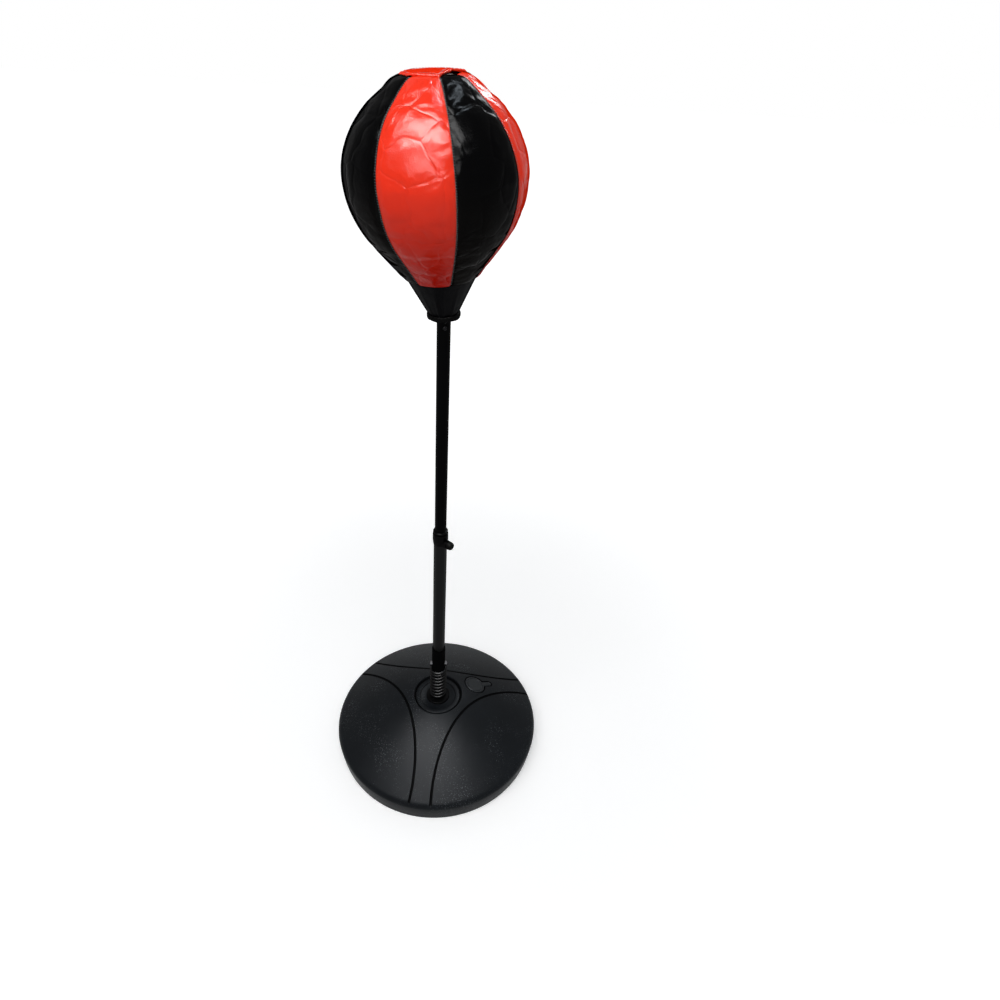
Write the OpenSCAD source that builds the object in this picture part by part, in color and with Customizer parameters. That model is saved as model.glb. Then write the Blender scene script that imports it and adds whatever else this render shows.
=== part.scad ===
// Punching-ball stand: a fillable base, a coil spring, a two-part pole and a stitched ball.
// Millimetres. +Z is up, and the origin is the middle of the base on the floor.

/* [Base] */
// Widest diameter of the base
base_d = 380; // [340:5:420]
// How far the side leans in from its widest line to the floor
base_draft = 4; // [1:0.5:8]
// Height of the widest line above the floor
base_side_h = 34; // [26:1:42]
// Radius of the rounded outer edge
base_edge_r = 14; // [8:1:18]
// Height at which the dome's curve would close over the middle
base_dome_h = 120.5; // [105:0.5:135]
// How the dome bends: 1 is a straight cone, 2 a parabola
base_dome_bend = 1.5; // [1.2:0.1:2]
// Wall of the hollow base
base_wall = 3.5; // [2.5:0.25:4.5]
// Bore of the hollow post that carries the spring seat
post_bore = 44; // [38:1:50]
// Thickness of the post's closed end
post_end_t = 4; // [3:0.5:6]

/* [Base relief] */
// Diameter of the sunken seat in the middle
seat_d = 90; // [80:1:100]
// Depth of the seat below the dome at its edge
seat_depth = 5; // [4:0.25:7]
// Width of the ring channel at the edge of the seat
seat_channel_w = 3; // [2:0.25:4]
// Depth of the ring channel below the seat's floor
seat_channel_depth = 1.5; // [0.5:0.25:2]
// Diameter of the raised step round the spring foot
seat_step_d = 72; // [60:1:76]
// Height of that step
seat_step_h = 1; // [0.5:0.25:2]
// Width of the three curved grooves
groove_w = 4.5; // [3:0.25:6]
// Depth of the curved grooves
groove_depth = 2; // [1:0.25:2.5]
// Radius of each groove, seen from above
groove_r = 256; // [220:2:300]
// Distance from the middle to the nearest point of each groove
groove_near = 60; // [54:0.5:62]
// Direction of the first groove's nearest point
groove_turn = 81; // [60:1:84]

/* [Fill plug] */
// Distance from the middle to the plug
plug_reach = 77.5; // [76:0.5:84]
// Direction of the plug
plug_turn = 22.5; // [10:0.5:26]
// Diameter of the plug's cap
plug_d = 39; // [36:0.5:42]
// Gap between the cap and the edge of its pocket
plug_gap = 2.5; // [1.5:0.25:3]
// Thickness of the cap and its tab
plug_t = 2.6; // [2:0.2:3.4]
// Depth of the cap's top below the dome
plug_sink = 0.6; // [0.4:0.1:1.2]
// Diameter of the fill hole
fill_d = 30; // [24:1:32]
// Length of the stopper below the cap
stopper_h = 12; // [9:0.5:16]
// Width of the pull tab
tab_w = 9; // [7:0.5:11]
// Distance from the plug's middle to the end of the tab
tab_reach = 38; // [32:1:42]

/* [Anchor] */
// Diameter of the anchor bolt
anchor_d = 8; // [6:0.5:9]
// Width across the flats of its head and nut
anchor_flats = 13; // [11:0.5:14.5]
// Height of the bolt head
anchor_head_h = 5.3; // [4:0.1:7]
// Height of the nut
anchor_nut_h = 6.5; // [5:0.1:8]
// Diameter of the washer under the head
washer_d = 24; // [20:1:30]
// Thickness of the washer
washer_t = 2; // [1.2:0.2:3]
// Diameter of the foot under the spring
foot_d = 43; // [38:1:48]
// Thickness of the foot
foot_t = 4; // [3:0.25:6]
// Height of the foot's peg inside the spring
foot_peg_h = 11.5; // [8:0.5:16]

/* [Spring] */
// Outer diameter of the spring
spring_d = 31; // [29:0.25:34]
// Diameter of the spring wire
wire_d = 5.5; // [4.5:0.1:6]
// Length of the spring
spring_h = 78; // [70:1:90]
// Number of turns
spring_turns = 9; // [8:1:10]
// Depth of the upper plug's peg inside the spring
plug_peg_h = 17; // [10:0.5:20]
// Thickness of the upper plug's flange
plug_flange_t = 2.5; // [2:0.25:4]
// Length of the upper plug's stub inside the pole
plug_stub_h = 15; // [13:0.5:22]

/* [Pole] */
// Outer diameter of the lower tube
lower_d = 21; // [20:0.5:24]
// Wall of both tubes
tube_wall = 1.2; // [1:0.1:1.6]
// Gap all round between the tubes
tube_gap = 0.3; // [0.2:0.05:0.5]
// Length of the lower tube
lower_len = 306.5; // [280:1:360]
// Length of the upper tube
upper_len = 489; // [440:1:560]
// Length of the upper tube that is inside the lower one
overlap = 98; // [80:1:110]
// Wall of the sleeve at the foot of the pole
sleeve_wall = 1.2; // [0.9:0.1:2]
// Height of the sleeve
sleeve_h = 48.5; // [36:0.5:70]
// Height of the cross bolt above the foot of the sleeve
cross_h = 6; // [5.5:0.1:8]
// Diameter of the cross bolt
cross_d = 5; // [4:0.5:5]
// Width across the flats of its head and nut
cross_flats = 8; // [7:0.5:9]
// Height of its head and nut
cross_head_h = 3.5; // [3:0.25:4.5]

/* [Height clamp] */
// Wall of the collar round the lower tube
collar_wall = 1.6; // [1.3:0.1:3]
// Height of the collar below the top of the lower tube
collar_skirt = 11.5; // [10:0.5:20]
// Height of the collar above the top of the lower tube
collar_head = 15; // [12:0.5:22]
// Height of the rolled lip on top of the collar
lip_h = 5; // [4:0.5:8]
// Depth of the clamp screw below the top of the lower tube
clamp_drop = 8; // [5:0.25:9]
// Direction of the knob
knob_turn = -40; // [-80:5:60]
// Diameter of the clamp screw
screw_d = 5; // [4:0.5:5]
// Width across the flats of the captive nut
clamp_flats = 8; // [7:0.5:9]
// Height of the captive nut
clamp_nut_h = 3.8; // [3:0.1:5]
// Thickness of the clamp shoe
shoe_t = 1.35; // [1:0.05:2]
// Diameter of the clamp shoe
shoe_d = 6.6; // [6:0.1:7]
// How far the shoe backs off when the knob is opened
shoe_travel = 1; // [0.6:0.1:1.4]
// Diameter of the boss behind the knob
boss_d = 13.5; // [12:0.25:15]
// Diameter of the knob
knob_d = 14; // [11:0.5:18]
// Length of the knob
knob_len = 8.5; // [7.5:0.5:16]
// How much less its tip's radius is than its root's
knob_taper = 1; // [0:0.1:1.4]
// Radius of the knob's finger flutes
flute_r = 1.4; // [1:0.1:2]
// Length of the guide plug below the upper tube
guide_t = 8; // [5:0.5:14]
// Length of the guide plug inside the upper tube
guide_peg_h = 24; // [16:1:34]

/* [Ball] */
// Widest diameter of the ball
ball_d = 209; // [195:1:225]
// Height of the ball's widest line above the rolled rim
ball_mid_h = 169; // [160:1:180]
// Height of the crown above the widest line
ball_crown = 98.5; // [90:0.5:108]
// Fullness of the crown: 2 is a plain ellipse, and less is leaner at the shoulders
crown_power = 1.88; // [1.7:0.02:2.2]
// Radius of the belly's arc below the widest line
belly_r = 115; // [105:1:130]
// Angle at which the belly runs into its cone
belly_turn = 37.8; // [34:0.2:40]
// Height of the panels' lower hem above the rolled rim
hem_h = 55; // [50:0.5:58]
// Thickness of a panel with its lining
panel_t = 1.8; // [1.2:0.1:2.4]
// Angle by which the ball leans on its cup
ball_lean = 4; // [0:0.5:5]
// Direction of the first seam
seam_turn = 8; // [0:0.5:44]
// Angle that the black panel on the viewer's left covers
left_panel_w = 68.5; // [45:0.5:72]
// Angle that the red panel facing the viewer covers
front_panel_w = 47.5; // [40:0.5:52]
// Angle that the black panel on the viewer's right covers
right_panel_w = 46.5; // [40:0.5:52]
// Distance across the corners of the top cap
cap_d = 84; // [70:1:94]
// Thickness of the top cap
cap_t = 1.3; // [0.8:0.1:2]
// Wall of the bladder
bladder_wall = 1.2; // [0.8:0.1:1.6]
// Thickness of the bladder's moulded foot
bladder_foot = 14; // [10:0.5:18]
// Diameter of the bladder's valve
valve_d = 8.8; // [7:0.1:9]
// Length of the valve
valve_len = 19.5; // [18:0.5:26]

/* [Neck] */
// Distance from the cup's plate down to the rolled rim
neck_drop = 30; // [26:0.5:34]
// Gap between the pole and the rolled rim
rim_gap = 8.5; // [7:0.25:10]
// Width of the rolled rim's section
rim_w = 4; // [3:0.25:5]
// Height of the rolled rim
rim_h = 8; // [6:0.5:9]
// Thickness of the neck skirt
skirt_t = 1.3; // [1:0.1:1.6]
// Diameter of the cup's plate
cup_d = 52; // [44:1:53]
// Thickness of the cup's plate
cup_t = 3; // [2:0.25:4]
// Length of the cup's peg inside the upper tube
cup_peg_h = 47; // [46:1:60]
// Diameter of the two cup screws
cup_screw_d = 3; // [2.5:0.25:3.5]
// Diameter of their heads
cup_head_d = 5; // [4.5:0.25:6]
// Height of their heads
cup_head_h = 1.3; // [1:0.1:2]
// Distance between them
cup_screw_gap = 9.5; // [8:0.25:12]
// Distance of the upper one below the cup's plate
cup_screw_drop = 32; // [31:0.5:34]
// Direction in which their heads face
cup_screw_turn = -80; // [-120:5:-40]

/* [Hidden] */
$fn = 96;

run_fit = 0.05;      // radial clearance of everything that turns or slides
seat_gap = 0.3;      // gap between curved or soft pieces that rest on each other
eps = 0.01;
past = 20;           // how far a cutting solid runs past what it cuts
panels = 8;
left_panel = 4;
cap_turn = 12;       // direction of one of the cap's corners
grooves = 3;
flutes = 8;
coil_sides = 8;
coil_steps = 26;

charcoal = [0.16, 0.17, 0.19];
black = [0.05, 0.05, 0.055];
steel = [0.62, 0.63, 0.65];
red = [0.9, 0.2, 0.11];
rubber = [0.25, 0.24, 0.23];

// Base: the dome runs into the edge arc where both have the same slope
base_r = base_d / 2;
edge_c = base_r - base_edge_r;
function edge_point(turn, inset) =
    [edge_c + (base_edge_r - inset) * cos(turn), base_side_h + (base_edge_r - inset) * sin(turn)];
function slope_past(p) = base_dome_bend * (base_dome_h - p[1]) / p[0];
edge_guess = 90 - atan(slope_past(edge_point(60, 0)));
edge_turn = 90 - atan(slope_past(edge_point(edge_guess, 0)));
dome_end = edge_point(edge_turn, 0);
dome_fall = (base_dome_h - dome_end[1]) / pow(dome_end[0], base_dome_bend);
function dome_z(r) = base_dome_h - dome_fall * pow(r, base_dome_bend);
function dome_slope(r) = dome_fall * base_dome_bend * pow(r, base_dome_bend - 1);
function inner_dome_z(r) = dome_z(r) - base_wall * sqrt(1 + pow(dome_slope(r), 2));

seat_r = seat_d / 2;
seat_z = dome_z(seat_r) - seat_depth;
roof_z = seat_z - seat_channel_depth - base_wall;
post_r = post_bore / 2;
post_end = roof_z - post_end_t;
foot_r = base_r - base_draft;

// Fill plug: its frame stands on the dome, tilted to the chord under cap and tab
pocket_r = plug_d / 2 + plug_gap;
pocket_floor = -plug_sink - plug_t - seat_gap;
plug_tilt = atan((dome_z(plug_reach - pocket_r) - dome_z(plug_reach + tab_reach)) / (pocket_r + tab_reach));

// Heights up the pole
foot_top = seat_z + foot_t;
spring_low = foot_top + seat_gap;
spring_top = spring_low + spring_h;
flange_low = spring_top + seat_gap;
sleeve_low = flange_low + plug_flange_t;
cross_z = sleeve_low + cross_h;
lower_r = lower_d / 2;
lower_bore = lower_r - tube_wall;
lower_top = sleeve_low + lower_len;
upper_r = lower_bore - tube_gap;
upper_bore = upper_r - tube_wall;
upper_low = lower_top - overlap;
upper_top = upper_low + upper_len;
neck_z = upper_top - neck_drop;

peg_r = spring_d / 2 - wire_d - seat_gap;
coil_r = (spring_d - wire_d) / 2;
sleeve_bore = lower_r + run_fit;
sleeve_r = sleeve_bore + sleeve_wall;
cross_flat = sleeve_r - 0.4;
hex_round = 1 / cos(30);      // from half the width across flats to the corner radius

// Height clamp, measured along the knob's axis from the middle of the pole
collar_r = lower_r + run_fit + collar_wall;
clamp_z = lower_top - clamp_drop;
shoe_face = upper_r + run_fit;
shoe_back = shoe_face + shoe_t;
nut_face = shoe_back + shoe_travel + 0.2;
nut_back = nut_face + clamp_nut_h;
boss_face = nut_back + 0.1;
knob_face = boss_face + 0.5;
knob_end = knob_face + knob_len;

// Ball outline in the ball's own frame, whose origin is the middle of the rolled rim
ball_r = ball_d / 2;
crown_steps = 16;
panel_steps = 14;
cap_first_step = 10;
belly_steps = 6;
function crown_point(i, out) =
    let (a = 90 * i / crown_steps, p = 2 / crown_power,
         n = [ball_crown * pow(cos(a), 2 - p), ball_r * pow(sin(a), 2 - p)])
    [ball_r * pow(cos(a), p), ball_mid_h + ball_crown * pow(sin(a), p)] + out * n / norm(n);
function belly_point(b, out) =
    [ball_r - belly_r + (belly_r + out) * cos(b), ball_mid_h - (belly_r + out) * sin(b)];
cone_end = belly_point(belly_turn, 0);
// A point on the cone under the belly, at a height given on the outer face
function cone_point(h, out) =
    [cone_end[0] - (cone_end[1] - h) * tan(belly_turn), h]
    + out * [cos(belly_turn), -sin(belly_turn)];
function outline(low, out, last = panel_steps) = concat(
    [cone_point(low, out)],
    [for (i = [belly_steps:-1:1]) belly_point(belly_turn * i / belly_steps, out)],
    [for (i = [0:last]) crown_point(i, out)]
);
other_panel_w = (360 - left_panel_w - front_panel_w - right_panel_w) / (panels - 3);
function panel_w(i) = i == left_panel ? left_panel_w
    : i == left_panel + 1 ? front_panel_w
    : i == left_panel + 2 ? right_panel_w
    : other_panel_w;
function seam_at(i) = i == 0 ? seam_turn : seam_at(i - 1) + panel_w(i - 1);
function reversed(list) = [for (i = [len(list) - 1:-1:0]) list[i]];

rim_in = upper_r + rim_gap;
rim_out = rim_in + rim_w;
rim_chamfer = 1.2;
skirt_tuck = 5;
hem_in = cone_point(hem_h, -panel_t);
skirt_top_r = hem_in[0] - seat_gap - (hem_in[1] - hem_h) * tan(belly_turn);
skirt_low_r = rim_out - rim_chamfer;
skirt_lean = (skirt_top_r - skirt_low_r) / (hem_h - rim_h);

cup_peg_r = upper_bore - run_fit;
cup_top = upper_top + cup_t;
bladder_out = -panel_t - seat_gap;
bladder_in = bladder_out - bladder_wall;
bladder_low = hem_h + 11;
bladder_foot_r = cup_d / 2 - 1;
valve_reach = upper_r + valve_d / 2 + 2.6;

module tube(r_out, r_in, h) {
    difference() {
        cylinder(r = r_out, h = h);
        translate([0, 0, -eps]) cylinder(r = r_in, h = h + 2 * eps);
    }
}

module hex(flats, h) {
    cylinder(r = flats / 2 * hex_round, h = h, $fn = 6);
}

module hex_nut(flats, bore_r, h) {
    difference() {
        hex(flats, h);
        translate([0, 0, -eps]) cylinder(r = bore_r, h = h + 2 * eps);
    }
}

// ---- Base -------------------------------------------------------------------

dome_steps = 14;
edge_steps = 6;

module base_outer() {
    rotate_extrude() polygon(concat(
        [[0, base_wall], [foot_r, base_wall]],
        [for (i = [0:edge_steps]) edge_point(edge_turn * i / edge_steps, 0)],
        [for (i = [dome_steps - 1:-1:0]) let (r = dome_end[0] * i / dome_steps) [r, dome_z(r)]]
    ));
}

module base_cavity() {
    roof_r = seat_r + base_wall;
    inner_end = edge_point(edge_turn, base_wall);
    rotate_extrude() polygon(concat(
        [[0, 0], [foot_r - base_wall, 0], [foot_r - base_wall, base_wall]],
        [for (i = [0:edge_steps]) edge_point(edge_turn * i / edge_steps, base_wall)],
        [for (i = [dome_steps - 1:-1:0])
            let (r = roof_r + (inner_end[0] - roof_r) * i / dome_steps) [r, inner_dome_z(r)]],
        [[roof_r, roof_z], [0, roof_z]]
    ));
}

module seat_cut() {
    channel_r = seat_r - seat_channel_w;
    step_r = seat_step_d / 2;
    rotate_extrude() polygon([
        [0, seat_z], [step_r, seat_z], [step_r, seat_z + seat_step_h],
        [channel_r, seat_z + seat_step_h], [channel_r, seat_z - seat_channel_depth],
        [seat_r, seat_z - seat_channel_depth], [seat_r, base_dome_h + past], [0, base_dome_h + past]
    ]);
}

// A layer that follows the dome down to the depth of the grooves
module groove_layer() {
    layer_steps = 12;
    first_r = seat_r + 6;
    radii = [for (i = [0:layer_steps]) first_r + (base_r - first_r) * i / layer_steps];
    rotate_extrude() polygon(concat(
        [for (r = radii) [r, dome_z(r) - groove_depth * sqrt(1 + pow(dome_slope(r), 2))]],
        [for (r = reversed(radii)) [r, dome_z(r) + past]]
    ));
}

module groove_walls() {
    for (k = [0:grooves - 1])
        rotate([0, 0, groove_turn + 360 / grooves * k])
            translate([groove_near + groove_r, 0, 0])
                tube(groove_r + groove_w / 2, groove_r - groove_w / 2, base_dome_h + past);
}

module in_plug_frame() {
    rotate([0, 0, plug_turn])
        translate([plug_reach, 0, dome_z(plug_reach)])
            rotate([0, plug_tilt, 0]) children();
}

// The round cap and its tab, grown all round by a margin
module keyhole(margin, h) {
    cylinder(r = plug_d / 2 + margin, h = h);
    translate([0, -tab_w / 2 - margin, 0]) cube([tab_reach - tab_w / 2, tab_w + 2 * margin, h]);
    translate([tab_reach - tab_w / 2, 0, 0]) cylinder(r = tab_w / 2 + margin, h = h);
}

module base_shell() {
    color(charcoal) difference() {
        base_outer();
        difference() {
            base_cavity();
            in_plug_frame() translate([0, 0, pocket_floor - base_wall])
                keyhole(plug_gap + base_wall, past);
        }
        seat_cut();
        intersection() {
            groove_layer();
            groove_walls();
        }
        in_plug_frame() {
            translate([0, 0, pocket_floor]) keyhole(plug_gap, past);
            translate([0, 0, -past]) cylinder(r = fill_d / 2, h = past);
        }
        cylinder(r = anchor_d / 2 + 2 * run_fit, h = base_dome_h);
    }
}

module base_floor() {
    color(charcoal) rotate_extrude() polygon([
        [post_r, 0], [foot_r - 3, 0], [foot_r - 0.9, 0.9], [foot_r, base_wall], [post_r, base_wall]
    ]);
}

module base_post() {
    color(charcoal) difference() {
        translate([0, 0, base_wall]) cylinder(r = post_r + base_wall, h = roof_z - base_wall);
        translate([0, 0, base_wall - eps]) cylinder(r = post_r, h = post_end - base_wall + eps);
        cylinder(r = anchor_d / 2 + 2 * run_fit, h = base_dome_h);
    }
}

module fill_plug() {
    rib_h = 0.8;
    color(charcoal) in_plug_frame() {
        difference() {
            translate([0, 0, -plug_sink - plug_t]) keyhole(0, plug_t);
            translate([0, 0, -plug_sink - rib_h]) cylinder(r = plug_d / 2 - 3, h = past);
        }
        translate([0, 0, -plug_sink - plug_t]) cylinder(r = plug_d / 2 - 4.5, h = plug_t - 0.2);
        translate([0, 0, -plug_sink - plug_t - stopper_h])
            difference() {
                cylinder(r = fill_d / 2 - run_fit, h = stopper_h + eps);
                translate([0, 0, -eps]) cylinder(r = fill_d / 2 - 3, h = stopper_h - 1);
            }
    }
}

module spring_foot() {
    color(black) difference() {
        union() {
            translate([0, 0, seat_z]) cylinder(r = foot_d / 2, h = foot_t - 1);
            translate([0, 0, foot_top - 1]) cylinder(r1 = foot_d / 2, r2 = foot_d / 2 - 1, h = 1);
            translate([0, 0, foot_top - eps]) cylinder(r = peg_r, h = foot_peg_h + eps);
        }
        translate([0, 0, seat_z - eps]) cylinder(r = anchor_d / 2 + 2 * run_fit, h = spring_h);
    }
}

module anchor_washer() {
    color(steel) translate([0, 0, post_end - washer_t])
        tube(washer_d / 2, anchor_d / 2 + 2 * run_fit, washer_t);
}

module anchor_bolt() {
    head_top = post_end - washer_t;
    bolt_end = foot_top + foot_peg_h + anchor_nut_h + 2.5;
    color(steel) {
        translate([0, 0, head_top - anchor_head_h]) hex(anchor_flats, anchor_head_h);
        translate([0, 0, head_top - eps]) cylinder(r = anchor_d / 2, h = bolt_end - head_top + eps);
    }
}

module anchor_nut() {
    color(steel) translate([0, 0, foot_top + foot_peg_h])
        hex_nut(anchor_flats, anchor_d / 2 + run_fit, anchor_nut_h);
}

// ---- Spring -----------------------------------------------------------------

end_pitch = wire_d + 0.3;
coil_rise = spring_h - wire_d;
open_pitch = (coil_rise - 2 * end_pitch) / (spring_turns - 2);
function coil_z(t) = t < 1 ? end_pitch * t
    : t > spring_turns - 1 ? coil_rise - end_pitch * (spring_turns - t)
    : end_pitch + open_pitch * (t - 1);
coil_lean = atan(open_pitch / (2 * PI * coil_r));
function coil_point(t, b) =
    let (a = 360 * t, side = wire_d / 2 * cos(b), up = wire_d / 2 * sin(b))
    [(coil_r + side) * cos(a) + up * sin(coil_lean) * sin(a),
     (coil_r + side) * sin(a) - up * sin(coil_lean) * cos(a),
     spring_low + wire_d / 2 + coil_z(t) + up * cos(coil_lean)];

module reflex_spring() {
    rings = spring_turns * coil_steps;
    points = [for (i = [0:rings]) for (j = [0:coil_sides - 1])
        coil_point(i / coil_steps, 360 * j / coil_sides)];
    sides = [for (i = [0:rings - 1]) for (j = [0:coil_sides - 1])
        let (k = (j + 1) % coil_sides, n = coil_sides)
        [i * n + j, (i + 1) * n + j, (i + 1) * n + k, i * n + k]];
    ends = [[for (j = [0:coil_sides - 1]) j],
            [for (j = [coil_sides - 1:-1:0]) rings * coil_sides + j]];
    color(black) polyhedron(points, concat(sides, ends), convexity = 10);
}

module cross_hole() {
    translate([-past, 0, cross_z]) rotate([0, 90, 0])
        cylinder(r = cross_d / 2 + run_fit, h = 2 * past);
}

module spring_plug() {
    color(black) difference() {
        union() {
            translate([0, 0, flange_low - plug_peg_h]) cylinder(r = peg_r, h = plug_peg_h + eps);
            translate([0, 0, flange_low]) cylinder(r = sleeve_r, h = plug_flange_t);
            translate([0, 0, sleeve_low - eps])
                cylinder(r = lower_bore - run_fit, h = plug_stub_h + eps);
        }
        cross_hole();
    }
}

// ---- Pole -------------------------------------------------------------------

module pole_sleeve() {
    color(black) difference() {
        translate([0, 0, sleeve_low]) tube(sleeve_r, sleeve_bore, sleeve_h);
        cross_hole();
        for (side = [-90, 90])
            translate([0, 0, cross_z]) rotate([0, side, 0]) translate([0, 0, cross_flat])
                cylinder(r = cross_flats / 2 * hex_round + 0.4, h = past);
    }
}

module cross_bolt() {
    color(steel) translate([0, 0, cross_z]) rotate([0, -90, 0]) {
        translate([0, 0, cross_flat]) hex(cross_flats, cross_head_h);
        translate([0, 0, -cross_flat - cross_head_h - 1])
            cylinder(r = cross_d / 2, h = 2 * cross_flat + cross_head_h + 1 + eps);
    }
}

module cross_nut() {
    color(steel) translate([0, 0, cross_z]) rotate([0, 90, 0]) translate([0, 0, cross_flat])
        hex_nut(cross_flats, cross_d / 2 + run_fit, cross_head_h);
}

module along_knob() {
    rotate([0, 0, knob_turn]) translate([0, 0, clamp_z]) rotate([0, 90, 0]) children();
}

module lower_tube() {
    color(black) difference() {
        translate([0, 0, sleeve_low]) tube(lower_r, lower_bore, lower_len);
        cross_hole();
        along_knob() cylinder(r = shoe_d / 2 + 0.2, h = past);
    }
}

// Turned body of the collar: a tapered skirt, a straight wall and a rolled lip
module collar_body() {
    low = lower_top - collar_skirt;
    top = lower_top + collar_head;
    bore = lower_r + run_fit;
    taper = 8;
    neck_r = upper_r + run_fit + 1.2;
    lip_r = collar_r - 0.6;
    difference() {
        rotate_extrude() polygon([
            [0, low], [bore + 0.6, low], [collar_r, low + taper],
            [collar_r, top - lip_h - 2], [collar_r - 0.5, top - lip_h - 1],
            [neck_r, top - lip_h - 0.6], [neck_r, top - lip_h], [lip_r - 0.6, top - lip_h + 0.4],
            [lip_r, top - lip_h + 1.4], [lip_r, top - 1.6], [lip_r - 1, top - 0.4],
            [lip_r - 2.4, top], [0, top]
        ]);
        translate([0, 0, low - eps]) cylinder(r = bore, h = collar_skirt + eps);
        cylinder(r = upper_r + run_fit, h = top + past);
    }
}

module clamp_collar() {
    color(black) difference() {
        union() {
            collar_body();
            difference() {
                along_knob() cylinder(r = boss_d / 2, h = boss_face);
                cylinder(r = lower_r + run_fit, h = lower_top + past);
            }
        }
        along_knob() {
            cylinder(r = shoe_d / 2 + 0.2, h = past);
            translate([0, 0, nut_face]) hex(clamp_flats + 0.2, past);
        }
    }
}

module clamp_nut() {
    color(steel) along_knob() translate([0, 0, nut_face])
        hex_nut(clamp_flats, screw_d / 2 + run_fit, clamp_nut_h);
}

module clamp_screw() {
    color(steel) along_knob() translate([0, 0, shoe_back + run_fit])
        cylinder(r = screw_d / 2, h = knob_end - 3 - shoe_back);
}

module clamp_knob() {
    knob_r = knob_d / 2;
    tip_r = knob_r - knob_taper;
    color(black) along_knob() difference() {
        union() {
            translate([0, 0, knob_face]) cylinder(r = knob_r - 1, h = 1.5);
            translate([0, 0, knob_face + 1]) cylinder(r1 = knob_r - 0.6, r2 = knob_r, h = 1);
            translate([0, 0, knob_face + 2]) cylinder(r1 = knob_r, r2 = tip_r, h = knob_len - 4);
            translate([0, 0, knob_end - 2]) cylinder(r1 = tip_r, r2 = tip_r - 0.8, h = 1.2);
            translate([0, 0, knob_end - 0.8]) cylinder(r1 = tip_r - 0.8, r2 = tip_r - 2.2, h = 0.8);
        }
        for (k = [0:flutes - 1])
            rotate([0, 0, 360 / flutes * k])
                translate([knob_r + flute_r * 0.45, 0, knob_face + 1]) cylinder(r = flute_r, h = past);
        translate([0, 0, knob_face - eps]) cylinder(r = screw_d / 2 + run_fit, h = knob_len - 3 + 2 * run_fit);
    }
}

module clamp_shoe() {
    color(rubber) difference() {
        along_knob() cylinder(r = shoe_d / 2, h = shoe_back);
        cylinder(r = shoe_face, h = lower_top + past);
    }
}

module guide_plug() {
    color(rubber) {
        translate([0, 0, upper_low - guide_t - run_fit]) cylinder(r = lower_bore - run_fit, h = guide_t);
        translate([0, 0, upper_low - 2 * run_fit]) cylinder(r = upper_bore - run_fit, h = guide_peg_h);
    }
}

// The two screws that hold the cup's peg, each drawn along its own axis
module at_cup_screws() {
    for (i = [0, 1])
        translate([0, 0, upper_top - cup_screw_drop - cup_screw_gap * i])
            rotate([0, 0, cup_screw_turn]) rotate([0, 90, 0]) children();
}

module upper_tube() {
    color(black) difference() {
        translate([0, 0, upper_low]) tube(upper_r, upper_bore, upper_len);
        at_cup_screws() cylinder(r = cup_screw_d / 2 + run_fit, h = past);
    }
}

// ---- Ball -------------------------------------------------------------------

module ball_cup() {
    color(black) difference() {
        union() {
            translate([0, 0, upper_top]) cylinder(r1 = cup_d / 2 - 1.2, r2 = cup_d / 2, h = 1.2);
            translate([0, 0, upper_top + 1.2]) cylinder(r = cup_d / 2, h = cup_t - 1.2);
            translate([0, 0, upper_top - cup_peg_h]) cylinder(r = cup_peg_r, h = cup_peg_h + eps);
        }
        at_cup_screws() cylinder(r = cup_screw_d / 2 + run_fit, h = past);
        translate([0, valve_reach, upper_top - eps]) cylinder(r = valve_d / 2 + 0.6, h = past);
    }
}

module cup_screws() {
    color(steel) at_cup_screws() {
        translate([0, 0, 1]) cylinder(r = cup_screw_d / 2, h = upper_r - 1 + cup_head_h / 2);
        translate([0, 0, upper_r]) cylinder(r = cup_head_d / 2, h = cup_head_h * 0.6);
        translate([0, 0, upper_r + cup_head_h * 0.6])
            cylinder(r1 = cup_head_d / 2, r2 = cup_head_d / 2 - 0.8, h = cup_head_h * 0.4);
    }
}

module in_ball_frame() {
    translate([0, 0, neck_z]) rotate([0, -ball_lean, 0]) children();
}

module neck_rim() {
    color(black) in_ball_frame() rotate_extrude() polygon([
        [rim_in + rim_chamfer, 0], [rim_out - rim_chamfer, 0], [rim_out, rim_chamfer],
        [rim_out, rim_h - rim_chamfer], [rim_out - rim_chamfer, rim_h],
        [rim_in + rim_chamfer, rim_h], [rim_in, rim_h - rim_chamfer], [rim_in, rim_chamfer]
    ]);
}

module neck_skirt() {
    tuck_r = skirt_top_r + skirt_lean * skirt_tuck;
    color(black) in_ball_frame() rotate_extrude() polygon([
        [skirt_low_r - skirt_t, rim_h], [skirt_low_r, rim_h],
        [tuck_r, hem_h + skirt_tuck], [tuck_r - skirt_t, hem_h + skirt_tuck]
    ]);
}

module ball_panel(index, tint) {
    color(tint) in_ball_frame() rotate([0, 0, seam_at(index)])
        rotate_extrude(angle = panel_w(index))
            polygon(concat(outline(hem_h, 0), reversed(outline(hem_h, -panel_t))));
}

module top_cap() {
    outer = [for (i = [cap_first_step:crown_steps]) crown_point(i, cap_t)];
    inner = [for (i = [cap_first_step:crown_steps]) crown_point(i, 0)];
    color(red) in_ball_frame() intersection() {
        rotate_extrude() polygon(concat(outer, reversed(inner)));
        rotate([0, 0, cap_turn]) cylinder(r = cap_d / 2, h = ball_mid_h + ball_crown + past, $fn = panels);
    }
}

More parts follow.
